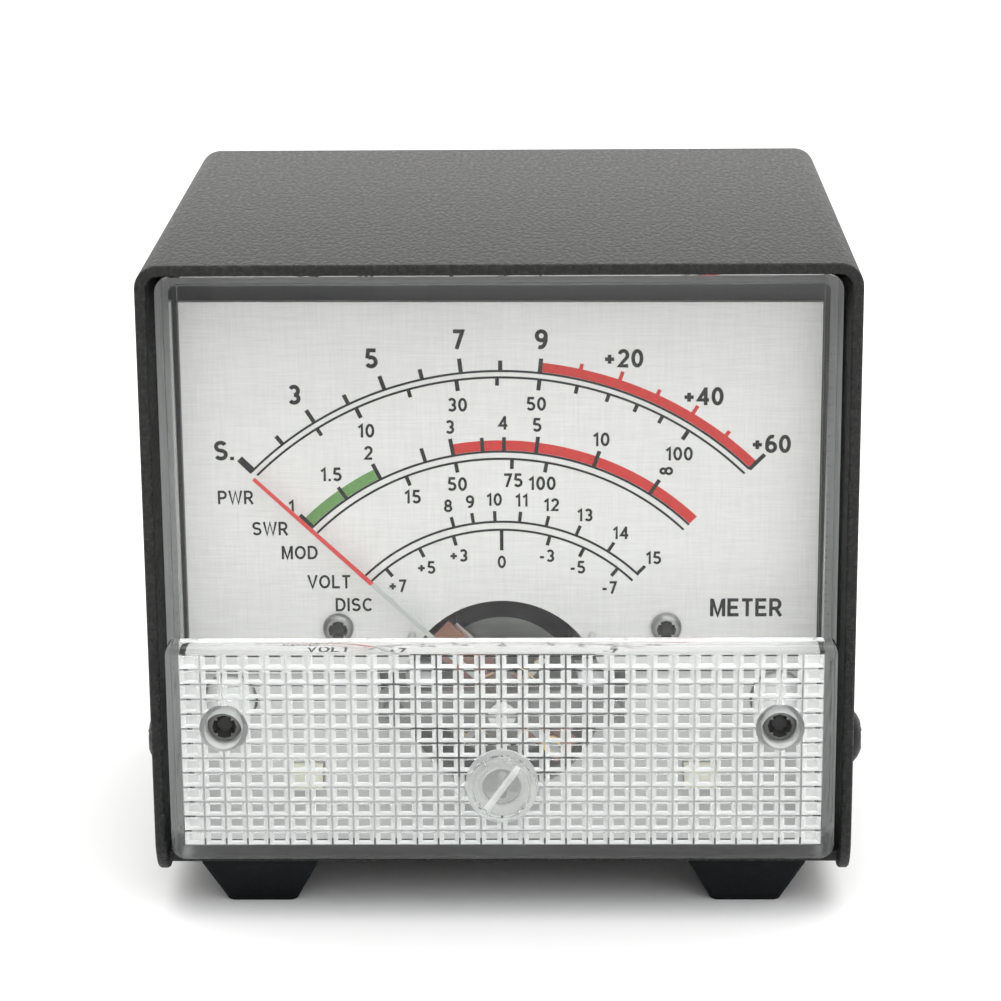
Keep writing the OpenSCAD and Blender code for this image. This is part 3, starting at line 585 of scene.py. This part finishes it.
def tapered_foot(x, y, height, base_half, top_half):
    """A moulded foot: flared sides, soft lower edge and a thin rim where it is stuck on."""
    edge, lip = 0.2, 0.6
    levels = [(0.0, base_half - edge)]
    for i in range(1, 5):
        a = math.radians(90 * i / 4)
        levels.append((edge * (1 - math.cos(a)), base_half - edge + edge * math.sin(a)))
    for share in (0.3, 0.6, 1.0):
        levels.append((edge + (height - lip - edge) * share, base_half + (top_half - base_half) * share))
    levels += [(height - 0.15, top_half), (height, top_half - 0.12)]
    bm = bmesh.new()
    rings = []
    for z, half in levels:
        ring = rounded_square_ring(half, 0.9, z)
        rings.append([bm.verts.new((x + px, y + py, pz)) for px, py, pz in ring])
    count = len(rings[0])
    for low, high in zip(rings, rings[1:]):
        for i in range(count):
            j = (i + 1) % count
            bm.faces.new((low[i], low[j], high[j], high[i]))
    bm.faces.new(list(reversed(rings[0])))
    bm.faces.new(rings[-1])
    return mesh_object("foot", bm, SLOT_LOOKS["black_rubber"])


def rubber_feet():
    low, high = span("rubber_feet")
    top_half, base_half = FOOT_TOP / 2, FOOT_BASE / 2
    feet = [
        tapered_foot(x, y, high[2], base_half, top_half)
        for x in (low[0] + top_half, high[0] - top_half)
        for y in (low[1] + top_half, high[1] - top_half)
    ]
    return place_piece(shade(join("foot_set", feet), 30), "housing", "rubber_feet")


# ---------- screws ----------


def cross_cutter(place, span_mm, depth, look, recess_look):
    """A tapered four-lobed driver point that is cut out of a screw head."""
    bm = bmesh.new()
    lobes = 4
    half = math.radians(35)
    inner = span_mm * 0.38
    outline = []
    for i in range(lobes):
        a = math.pi / 2 * i
        outline += [(span_mm / 2 * math.cos(t), span_mm / 2 * math.sin(t)) for t in (a - half, a, a + half)]
        outline.append((inner * math.cos(a + math.pi / 4), inner * math.sin(a + math.pi / 4)))
    top = [bm.verts.new((x, y, 0.3)) for x, y in outline]
    low = [bm.verts.new((x * 0.55, y * 0.55, -depth)) for x, y in outline]
    count = len(outline)
    for i in range(count):
        j = (i + 1) % count
        bm.faces.new((low[i], low[j], top[j], top[i]))
    bm.faces.new(top)
    bm.faces.new(list(reversed(low)))
    bmesh.ops.transform(bm, matrix=place, verts=bm.verts)
    return two_looks(mesh_object("cutter", bm), look, recess_look)


def pan_head_screw(place, head_r, head_h, shank_r, shank_len, look, recess, recess_look, rim=0.35, crown=0.5):
    """A domed head with a cross recess, on a shank with rolled grooves.

    The rim is the share of the head's height that stays straight, and the crown is the share of its
    radius that the dome takes.
    """
    profile = [(0, -shank_len), (shank_r * 0.6, -shank_len), (shank_r, -shank_len + shank_r * 0.4)]
    pitch = max(0.5, shank_r * 0.4)
    grooves = int((shank_len - shank_r) / pitch)
    for i in range(grooves):
        h = -shank_len + shank_r * 0.5 + i * pitch
        profile += [(shank_r, h), (shank_r * 0.86, h + pitch / 2)]
    profile += [(shank_r, -0.2), (shank_r, 0), (head_r - 0.1, 0), (head_r, 0.1), (head_r, head_h * rim)]
    for i in range(1, 9):
        a = math.radians(90 * i / 8)
        r = head_r - head_r * crown * (1 - math.cos(a))
        profile.append((r, head_h * (rim + (1 - rim) * math.sin(a))))
    profile.append((0, head_h))
    screw = lathe("screw", profile, place, look)
    screw.data.materials.append(recess_look)
    top = place @ Matrix.Translation((0, 0, head_h))
    cutter = cross_cutter(top, recess, head_h * 0.75, look, recess_look)
    return boolean(screw, cutter, "DIFFERENCE")


def screw_set(name, node, places, sizes, look, recess, recess_look, **dome):
    screws = [pan_head_screw(place, *sizes, look, recess, recess_look, **dome) for place in places]
    return place_piece(shade(join(name, screws), 40), "housing", node)


def housing_screws():
    low, high = span("side_screws")
    head_r, head_h = 3.4, 2.65
    ys = (low[1] + head_r, high[1] - head_r)
    z = (low[2] + high[2]) / 2
    places = [facing(-cover_high[0], y, z, "left") for y in ys]
    places += [facing(cover_high[0], y, z, "right") for y in ys]
    look = SLOT_LOOKS["black_screw"]
    sizes = (head_r, head_h, 1.7, 5.5)
    screw_set("side_screw_set", "side_screws", places, sizes, look, 4.0, look, rim=0.15, crown=0.95)


def front_screws():
    sizes = (1.85, 1.2, 1.28, 14.3)
    places = [facing(s * BOSS_X, SCREW_SEAT, BOSS_Z, "front") for s in (-1, 1)]
    # the heads' dark grey is painted shade on plated steel
    screw_set("front_screw_set", "cover_screws", places, sizes, SHADED_STEEL, 3.0, RECESS_SHADOW_LOOK)


def dial_screws():
    low, high = span("dial_screws")
    head_r = 1.65
    sizes = (head_r, 1, 0.9, 5)
    x = high[0] - head_r
    z = (low[2] + high[2]) / 2
    places = [facing(s * x, DIAL_Y, z, "front") for s in (-1, 1)]
    # the darker steel of these heads is painted shade
    screw_set("dial_screw_set", "dial_screws", places, sizes, SATIN_STEEL, 2.4, RECESS_SHADOW_LOOK)


# ---------- clear moulding ----------


CELLS_ACROSS = 30
CELLS_UP = 13
CELL_DEPTH = 0.6
CELL_GROOVE = 0.1
CELL_SLOPE_X = 0.46
CELL_SLOPE_Z = 0.33
# index of each cell's upper slope, left clear as painted shade while the other slopes are frosted as painted
# light
SHADED_UPPER_SIDE = 2


def inset_corners(x0, x1, z0, z1, inset_x, inset_z):
    """Corners of a cell, counter-clockwise from its lower left one."""
    return [
        (x0 + inset_x, z0 + inset_z),
        (x1 - inset_x, z0 + inset_z),
        (x1 - inset_x, z1 - inset_z),
        (x0 + inset_x, z1 - inset_z),
    ]


def ridged_cavity(x0, x1, z0, z1, y0, y1):
    """The hollow behind the lower section. Its front face is a grid of blunt pyramids."""
    bm = bmesh.new()
    step_x = (x1 - x0) / CELLS_ACROSS
    step_z = (z1 - z0) / CELLS_UP
    grid = [
        [bm.verts.new((x0 + i * step_x, y0, z0 + k * step_z)) for k in range(CELLS_UP + 1)]
        for i in range(CELLS_ACROSS + 1)
    ]
    for i in range(CELLS_ACROSS):
        for k in range(CELLS_UP):
            cell = (x0 + i * step_x, x0 + (i + 1) * step_x, z0 + k * step_z, z0 + (k + 1) * step_z)
            edge = [grid[i][k], grid[i + 1][k], grid[i + 1][k + 1], grid[i][k + 1]]
            foot_corners = inset_corners(*cell, CELL_GROOVE, CELL_GROOVE)
            top_corners = inset_corners(*cell, CELL_GROOVE + CELL_SLOPE_X, CELL_GROOVE + CELL_SLOPE_Z)
            foot = [bm.verts.new((x, y0, z)) for x, z in foot_corners]
            top = [bm.verts.new((x, y0 + CELL_DEPTH, z)) for x, z in top_corners]
            bm.faces.new(top).material_index = 1 if i in (0, CELLS_ACROSS - 1) else 0
            for a in range(4):
                b = (a + 1) % 4
                bm.faces.new((edge[a], edge[b], foot[b], foot[a]))
                # painted light and shade: each cell's upper slope stays clear and dark while the other three
                # take the pale frosted look, so the frames look lit from above, bright below and at the sides
                # and darker on top
                slope = bm.faces.new((foot[a], foot[b], top[b], top[a]))
                slope.material_index = 0 if a == SHADED_UPPER_SIDE else 1
    rim = [grid[i][0] for i in range(CELLS_ACROSS + 1)]
    rim += [grid[CELLS_ACROSS][k] for k in range(1, CELLS_UP + 1)]
    rim += [grid[i][CELLS_UP] for i in range(CELLS_ACROSS - 1, -1, -1)]
    rim += [grid[0][k] for k in range(CELLS_UP - 1, 0, -1)]
    back = [bm.verts.new((v.co.x, y1, v.co.z)) for v in rim]
    for a in range(len(rim)):
        b = (a + 1) % len(rim)
        bm.faces.new((rim[a], rim[b], back[b], back[a]))
    bm.faces.new(back)
    return mesh_object("cutter", bm, SLOT_LOOKS["clear_plastic"])


def frosted(obj):
    """Gives all faces of a part of the moulding the matt finish of its second material."""
    return two_looks(obj, SLOT_LOOKS["clear_plastic"], FACET_LOOK)


def clear_moulding():
    """Meter front: plain window above, ridged section below, skirt, screw tubes and adjuster rim."""
    clear = SLOT_LOOKS["clear_plastic"]
    x = METER_X
    inner_x = x - CLEAR_WALL
    window_back = WINDOW_FRONT + WINDOW_T
    solid_back = FRONT_Y + 0.45
    floor_z, roof_z = METER_Z0 + CLEAR_WALL, METER_Z1 - CLEAR_WALL
    upper = round_rect(-x, x, METER_Z0, METER_Z1, 1.6, 1.6)
    lower = round_rect(-x, x, METER_Z0, LEDGE_Z + 0.5, 1.7, 1.6)
    side = round_rect(LOWER_FRONT, SKIRT_Y + 5, METER_Z0 - 1, LEDGE_Z, LEDGE_R, 0)
    body = prism("front_moulding", upper, WINDOW_FRONT, SKIRT_Y, clear)
    lower_body = prism("part", lower, LOWER_FRONT - 1, SKIRT_Y, clear)
    boolean(lower_body, side_prism("side_outline", side, -x - 1, x + 1, clear), "INTERSECT")
    boolean(body, lower_body, "UNION")
    bevel(body, 0.7, 4, 50)
    body.data.materials.append(FACET_LOOK)
    hollow = round_rect(-inner_x, inner_x, floor_z, roof_z, 0.6, 0.6)
    boolean(body, prism("cutter", hollow, window_back, SKIRT_Y + 1, clear), "DIFFERENCE")
    cell_y0, cell_y1 = LOWER_FRONT + 1.05, window_back + 0.5
    cell_z0, cell_z1 = floor_z + 0.02, LEDGE_Z - CLEAR_WALL
    cavity = ridged_cavity(0.02 - inner_x, inner_x - 0.02, cell_z0, cell_z1, cell_y0, cell_y1)
    cavity.data.materials.append(FACET_LOOK)
    boolean(body, cavity, "DIFFERENCE")

    rim = bevel(rod("part", 0, ADJUSTER_Z, RIM_FRONT, LOWER_FRONT + 0.5, ADJUSTER_RIM, clear, 64), 0.2, 3)
    boolean(body, rim, "UNION")
    backing = rod("part", 0, ADJUSTER_Z, LOWER_FRONT + 0.5, solid_back, ADJUSTER_RIM + 0.15, clear, 64)
    boolean(body, frosted(backing), "UNION")
    seat = rod("part", 0, ADJUSTER_Z, RIM_FRONT - 1, FRONT_Y - 0.7, ADJUSTER_R + 0.12, clear, 64)
    boolean(body, seat, "DIFFERENCE")
    boolean(body, rod("part", 0, ADJUSTER_Z, FRONT_Y - 2, FRONT_Y + 4, STEM_HOLE_R, clear), "DIFFERENCE")
    for boss_x in (-BOSS_X, BOSS_X):
        tube = rod("part", boss_x, BOSS_Z, LOWER_FRONT + 0.5, SKIRT_Y, BOSS_R)
        head_hole = rod("part", boss_x, BOSS_Z, LOWER_FRONT - 1, SCREW_SEAT + 0.02, HEAD_HOLE_R)
        shank_hole = rod("part", boss_x, BOSS_Z, LOWER_FRONT, SKIRT_Y + 1, SHANK_HOLE_R)
        boolean(body, frosted(tube), "UNION")
        boolean(body, frosted(head_hole), "DIFFERENCE")
        boolean(body, frosted(shank_hole), "DIFFERENCE")
    finish_window(body)
    return place_piece(shade(body, 30), "housing", "meter_cover")


def finish_window(body):
    """Gives the window's flat faces their own look and the rear edge of the skirt a matt one."""
    body.data.materials.append(WINDOW_LOOK)
    for polygon in body.data.polygons:
        if abs(polygon.normal.y) < 0.999:
            continue
        y = polygon.center.y / MM
        if y > SKIRT_Y - 0.1:
            polygon.material_index = 1
        elif polygon.center.z > LEDGE_Z * MM and WINDOW_FRONT - 0.1 < y < WINDOW_FRONT + WINDOW_T + 0.1:
            polygon.material_index = 2


def zero_adjuster():
    """Cloudy slotted disc with its stem and off-centre pin."""
    face = adjuster_low[1]
    seat = FRONT_Y + 1
    place = facing(0, seat, ADJUSTER_Z, "front")
    collar_h, disc_h, top_h = [seat - y for y in (FRONT_Y + 0.4, FRONT_Y - 0.78, face)]
    profile = [(0, 0), (STEM_COLLAR_R, 0), (STEM_COLLAR_R, collar_h), (STEM_R, collar_h), (STEM_R, disc_h)]
    profile += [(ADJUSTER_R - 0.2, disc_h), (ADJUSTER_R, disc_h + 0.2), (ADJUSTER_R, top_h - 0.25)]
    profile += [(ADJUSTER_R - 0.1, top_h - 0.07), (ADJUSTER_R - 0.3, top_h), (0, top_h)]
    disc = lathe("adjuster_disc", profile, place, CLOUDY_LOOK, 64)
    disc.data.materials.append(FACET_LOOK)
    turn = Matrix.Translation((0, face, ADJUSTER_Z)) @ Matrix.Rotation(math.radians(36), 4, "Y")
    slot_size = Matrix.Diagonal((0.7, 1.4, 8, 1))
    bm = bmesh.new()
    bmesh.ops.create_cube(bm, size=1, matrix=turn @ slot_size)
    boolean(disc, frosted(mesh_object("cutter", bm)), "DIFFERENCE")
    pin = rod("part", 0, ADJUSTER_Z - 1.2, FRONT_Y + 0.9, adjuster_high[1], 0.5, CLOUDY_LOOK, 24)
    boolean(disc, pin, "UNION")
    return place_piece(shade(disc, 30), "zero_adjuster", "zero_adjuster")


# ---------- printed dial ----------


def polar(radius, angle):
    """Point on the dial at a radius from the arc centre and an angle from straight up, in degrees."""
    a = math.radians(angle)
    return radius * math.sin(a), DIAL_ARC_Z + radius * math.cos(a)


def bow(cx, cz, rx, rz, start, end, steps=14):
    """Points of an elliptical arc; angles are in degrees from +x, counter-clockwise."""
    angles = [math.radians(start + (end - start) * i / steps) for i in range(steps + 1)]
    return [(cx + rx * math.cos(a), cz + rz * math.sin(a)) for a in angles]


# Plain lettering: each character has a width and the centre lines of its strokes, for a height of one
P_BOWL = [(0.08, 0), (0.08, 0.92), (0.34, 0.92), *bow(0.34, 0.68, 0.22, 0.24, 80, -90, 8), (0.08, 0.44)]
D_BOWL = bow(0.32, 0.5, 0.32, 0.42, 80, -90, 9)
GLYPHS = {
    "0": (0.62, [bow(0.31, 0.5, 0.23, 0.42, 0, 360)]),
    "1": (0.42, [[(0.06, 0.72), (0.3, 0.92), (0.3, 0)]]),
    "2": (0.62, [[*bow(0.31, 0.68, 0.22, 0.24, 165, -35, 9), (0.1, 0.08), (0.57, 0.08)]]),
    "3": (0.62, [bow(0.3, 0.7, 0.21, 0.22, 150, -90, 9), bow(0.3, 0.29, 0.23, 0.21, 90, -150, 9)]),
    "4": (0.66, [[(0.46, 0), (0.46, 1)], [(0.46, 0.92), (0.08, 0.3), (0.64, 0.3)]]),
    "5": (0.62, [[(0.54, 0.92), (0.16, 0.92), (0.11, 0.5)], bow(0.3, 0.32, 0.24, 0.24, 125, -150, 10)]),
    "6": (0.62, [bow(0.31, 0.32, 0.23, 0.24, 0, 360), bow(0.36, 0.42, 0.28, 0.5, 70, 180, 7)]),
    "7": (0.6, [[(0.05, 0.92), (0.52, 0.92), (0.22, 0)]]),
    "8": (0.62, [bow(0.31, 0.71, 0.19, 0.21, 0, 360), bow(0.31, 0.29, 0.23, 0.21, 0, 360)]),
    "9": (0.62, [bow(0.31, 0.68, 0.23, 0.24, 0, 360), bow(0.26, 0.58, 0.28, 0.5, -110, 0, 7)]),
    "+": (0.62, [[(0.06, 0.45), (0.56, 0.45)], [(0.31, 0.2), (0.31, 0.7)]]),
    "-": (0.4, [[(0.04, 0.38), (0.36, 0.38)]]),
    ".": (0.2, [[(0.1, 0), (0.1, 0.17)]]),
    "C": (0.74, [bow(0.4, 0.5, 0.32, 0.42, 45, 315)]),
    "D": (0.72, [[(0.08, 0.08), (0.08, 0.92), (0.3, 0.92), *D_BOWL, (0.08, 0.08)]]),
    "E": (0.62, [[(0.58, 0.92), (0.08, 0.92), (0.08, 0.08), (0.6, 0.08)], [(0.08, 0.5), (0.54, 0.5)]]),
    "I": (0.16, [[(0.08, 0), (0.08, 1)]]),
    "L": (0.58, [[(0.08, 1), (0.08, 0.08), (0.56, 0.08)]]),
    "M": (0.8, [[(0.08, 0), (0.08, 1)], [(0.12, 0.94), (0.4, 0.06), (0.68, 0.94)], [(0.72, 0), (0.72, 1)]]),
    "O": (0.8, [bow(0.4, 0.5, 0.32, 0.42, 0, 360, 20)]),
    "P": (0.64, [P_BOWL]),
    "R": (0.7, [P_BOWL, [(0.34, 0.44), (0.62, 0)]]),
    "S": (0.66, [[*bow(0.33, 0.71, 0.24, 0.21, 25, 270), *bow(0.33, 0.29, 0.25, 0.21, 80, -155)]]),
    "T": (0.62, [[(0.02, 0.92), (0.6, 0.92)], [(0.31, 0.92), (0.31, 0)]]),
    "V": (0.68, [[(0.04, 1), (0.34, 0.04), (0.64, 1)]]),
    "W": (0.96, [[(0.05, 1), (0.27, 0.04), (0.48, 0.94), (0.69, 0.04), (0.91, 1)]]),
    "∞": (0.94, [bow(0.26, 0.45, 0.18, 0.18, 0, 360), bow(0.66, 0.45, 0.22, 0.22, 0, 360)]),
}
LETTER_GAP = 0.13


def ribbon_edges(points, width, closed):
    """Left and right edges of a line of even width, with its corners mitred."""
    left, right = [], []
    count = len(points)
    for i, (x, z) in enumerate(points):
        legs = [(points[i - 1], points[i]), (points[i], points[(i + 1) % count])]
        if not closed and i == 0:
            legs = legs[1:]
        if not closed and i == count - 1:
            legs = legs[:1]
        nx = sum((a[1] - b[1]) / math.dist(a, b) for a, b in legs)
        nz = sum((b[0] - a[0]) / math.dist(a, b) for a, b in legs)
        length = math.hypot(nx, nz)
        reach = width / 2 / max(0.55, length / len(legs)) / length
        left.append((x + nx * reach, z + nz * reach))
        right.append((x - nx * reach, z - nz * reach))
    return left, right


class Print:
    """One colour of ink, gathered as flat shapes that stand just proud of the dial."""

    def __init__(self):
        self.bm = bmesh.new()

    def strip(self, left, right, lift=0.0, closed=False):
        """A solid ribbon between two rows of (x, z) points."""
        y0, y1 = DIAL_Y - INK_T - lift, DIAL_Y
        rows = [[self.bm.verts.new((x, y, z)) for x, z in row] for row in (left, right) for y in (y0, y1)]
        lf, lb, rf, rb = rows
        count = len(left)
        for i in range(count if closed else count - 1):
            j = (i + 1) % count
            for a, b in ((lf, rf), (rb, lb), (lb, lf), (rf, rb)):
                self.bm.faces.new((a[i], a[j], b[j], b[i]))
        if not closed:
            for i in (0, count - 1):
                self.bm.faces.new((lf[i], rf[i], rb[i], lb[i]))

    def band(self, inner, outer, start, end, lift=0.0):
        steps = max(2, int(abs(end - start) * 1.2))
        angles = [start + (end - start) * i / steps for i in range(steps + 1)]
        self.strip([polar(inner, a) for a in angles], [polar(outer, a) for a in angles], lift)

    def tick(self, inner, outer, angle, width):
        """A short mark across a scale, drawn just above the ink that it crosses."""
        self.line([polar(inner, angle), polar(outer, angle)], width, 2 * STROKE_LIFT)

    def line(self, points, width, lift=0.0):
        closed = math.dist(points[0], points[-1]) < 0.01
        if closed:
            points = points[:-1]
        self.strip(*ribbon_edges(points, width, closed), lift, closed)

    def text(self, text, x, z, height, weight=0.17):
        """Lettering centred on (x, z)."""
        width = sum(GLYPHS[c][0] for c in text) + LETTER_GAP * (len(text) - 1)
        pen = x - width * height / 2
        for character in text:
            advance, strokes = GLYPHS[character]
            for layer, stroke in enumerate(strokes):
                points = [(pen + px * height, z + (pz - 0.5) * height) for px, pz in stroke]
                self.line(points, weight * height, (3 + layer) * STROKE_LIFT)
            pen += (advance + LETTER_GAP) * height

    def finish(self, name, material):
        return mesh_object(name, self.bm, material)


def printed_scales():
    black, red, green = Print(), Print(), Print()

    def labels(radius, height, entries, weight=0.18):
        for text, angle, *own_radius in entries:
            black.text(text, *polar(own_radius[0] if own_radius else radius, angle), height, weight)

    def lines(radii, start, end, width=0.24):
        for r in radii:
            black.band(r - width / 2, r + width / 2, start, end)

    def ticks(inner, outer, angles, width, print_color=black):
        for angle in angles:
            print_color.tick(inner, outer, angle, width)

    # signal scale above the first pair of lines, power scale below it
    lines((37.6, 36.9), -44.9, 44.6)
    ticks(37.5, 39.5, (-44.9,), 0.75)
    ticks(37.6, 39.2, (-31.8, -19.1, -6.4, 6.3), 0.44)
    ticks(37.6, 38.75, (-38.15, -25.45, -12.75, -0.05), 0.44)
    red.band(37.75, 38.75, 6.5, 44.6)
    ticks(37.8, 39.7, (19.0, 31.7), 0.4, red)
    ticks(37.8, 39.35, (12.65, 25.35, 38.05), 0.4, red)
    ticks(37.6, 39.9, (44.6,), 0.44)
    labels(41.3, 2.1, [("S.", -45.6), ("3", -32), ("5", -19.3), ("7", -6.2), ("9", 6.0)], 0.2)
    labels(41.1, 1.95, [("+20", 18.4), ("+40", 31.6, 40.9), ("+60", 44.1, 41.2)], 0.2)
    ticks(36.0, 36.9, (-32, -15.4, -0.6, 12.7, 18.1, 23.1, 27.7), 0.4)
    ticks(35.7, 36.9, (-24.6, -7.3, 6.4, 32.65), 0.44)
    labels(34.2, 1.5, [("10", -24.8), ("30", -7.75), ("50", 6.3), ("100", 33.6)])

    # SWR scale above the second pair of lines, modulation scale below it
    lines((27.9, 28.7), -45.2, 44.3)
    green.band(28.85, 30.0, -44.8, -26.6)
    red.band(28.85, 29.95, -10.2, 44.2)
    ticks(28.7, 30.6, (-44.8, -26.6, -10.2, 7.4, 20.0, 33.4), 0.42)
    ticks(28.7, 30.3, (-35.1, -16.3, -3.9, 0.6), 0.4)
    labels(31.9, 1.5, [("1", -44.8), ("1.5", -34.7), ("2", -26.3), ("3", -9.8)])
    labels(31.9, 1.5, [("4", 0.4), ("5", 6.9), ("10", 19.5), ("∞", 33.4)])
    ticks(26.8, 27.9, (-21.3, -10, 2.4, 10), 0.4)
    labels(25.55, 1.5, [("15", -21.8), ("50", -10.6), ("75", 2.8), ("100", 9.8)])

    # volt scale above the third pair of lines, discriminator scale below it
    lines((20.9, 20.0), -45.3, 44.6)
    volts = [("8", -14.1), ("9", -8.25), ("10", -1.9), ("11", 5.3), ("12", 13.2), ("13", 22.4)]
    volts += [("14", 33.0), ("15", 44.05)]
    ticks(20.9, 22.1, [angle for _, angle in volts], 0.36)
    labels(23.4, 1.4, volts)
    ticks(18.9, 20.0, (-38.5, -26.2, -15, 15, 26.2, 38.5), 0.38)
    ticks(17.7, 20.0, (0,), 0.38)
    labels(17.75, 1.4, [("+7", -39.35), ("+5", -27.2), ("+3", -15.15), ("0", 0, 16.4)])
    labels(17.75, 1.4, [("-3", 15.8), ("-5", 27.3), ("-7", 40.6)])

    names = [("PWR", -28.4, 44.8), ("SWR", -24.8, 41.3), ("MOD", -21.7, 38.6)]
    names += [("VOLT", -18.6, 35.3), ("DISC", -15.95, 32.7)]
    for text, x, z in names:
        black.text(text, x, z, 1.5, 0.16)
    black.text("METER", 26.3, 32.3, 2.0, 0.18)

    place_print(black.finish("dial_print_black", BLACK_INK))
    place_print(red.finish("dial_print_red", RED_INK))
    place_print(green.finish("dial_print_green", GREEN_INK))


def place_print(obj):
    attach(obj, "housing")


# ---------- scene ----------


def camera():
    """Camera in front, a little right of centre, that looks down on the meter."""
    yaw, pitch, roll = 0.01933, 0.2804, -0.00807
    position = Vector((5.774, FRONT_Y - 328.776, cover_high[2] + 69.58))
    right = Vector((math.cos(yaw), math.sin(yaw), 0))
    ahead = Vector((-math.sin(yaw), math.cos(yaw), 0))
    forward = ahead * math.cos(pitch) - Vector((0, 0, math.sin(pitch)))
    up = ahead * math.sin(pitch) + Vector((0, 0, math.cos(pitch)))
    tilted_right = right * math.cos(roll) + up * math.sin(roll)
    tilted_up = up * math.cos(roll) - right * math.sin(roll)
    data = bpy.data.cameras.new("camera")
    data.lens = 117.83
    data.sensor_width = 36
    data.shift_x = 0.0062
    data.clip_start = 0.01
    obj = bpy.data.objects.new("camera", data)
    turn = Matrix((tilted_right, tilted_up, -forward)).transposed().to_4x4()
    obj.matrix_world = Matrix.Translation(position * MM) @ turn
    bpy.context.scene.collection.objects.link(obj)
    bpy.context.scene.camera = obj


def softbox(name, position, target, size, power):
    data = bpy.data.lights.new(name, "AREA")
    data.shape = "RECTANGLE"
    data.size, data.size_y = size
    data.energy = power
    obj = bpy.data.objects.new(name, data)
    obj.location = position
    obj.rotation_euler = (Vector(target) - Vector(position)).to_track_quat("-Z", "Y").to_euler()
    bpy.context.scene.collection.objects.link(obj)


def studio():
    """Pale floor and soft light from above and in front."""
    bm = bmesh.new()
    bmesh.ops.create_grid(bm, x_segments=1, y_segments=1, size=3500)
    floor_look = Look("floor_paint", (0.94, 0.94, 0.94), 0.8)
    drift = floor_look.noise(floor_look.place, 3, 2)
    floor_look.color(floor_look.ramp(drift, [(0.3, (0.93, 0.93, 0.93)), (0.7, (0.95, 0.95, 0.95))]))
    mesh_object("floor", bm, floor_look.material)
    world = bpy.data.worlds.new("studio")
    world.use_nodes = True
    nodes, links = world.node_tree.nodes, world.node_tree.links
    background = nodes["Background"]
    background.inputs["Color"].default_value = (1.0, 0.995, 0.985, 1)
    direction = nodes.new("ShaderNodeTexCoord")
    parts = nodes.new("ShaderNodeSeparateXYZ")
    brightness = nodes.new("ShaderNodeMapRange")
    links.new(direction.outputs["Generated"], parts.inputs["Vector"])
    links.new(parts.outputs["Y"], brightness.inputs["Value"])
    for name, number in (("From Min", -0.5), ("From Max", 0.6), ("To Min", 0.42), ("To Max", 1.6)):
        brightness.inputs[name].default_value = number
    links.new(brightness.outputs["Result"], background.inputs["Strength"])
    bpy.context.scene.world = world
    bpy.context.scene.view_settings.view_transform = "Standard"
    softbox("key", (0.2, -0.55, 0.7), (0, 0, 0.04), (1.0, 1.0), 5.2)
    softbox("top", (0.0, 0.1, 0.9), (0, 0, 0.04), (1.3, 1.3), 5.4)


camera()
studio()
folded_cover()
rubber_feet()
housing_screws()
front_screws()
dial_screws()
clear_moulding()
zero_adjuster()
printed_scales()
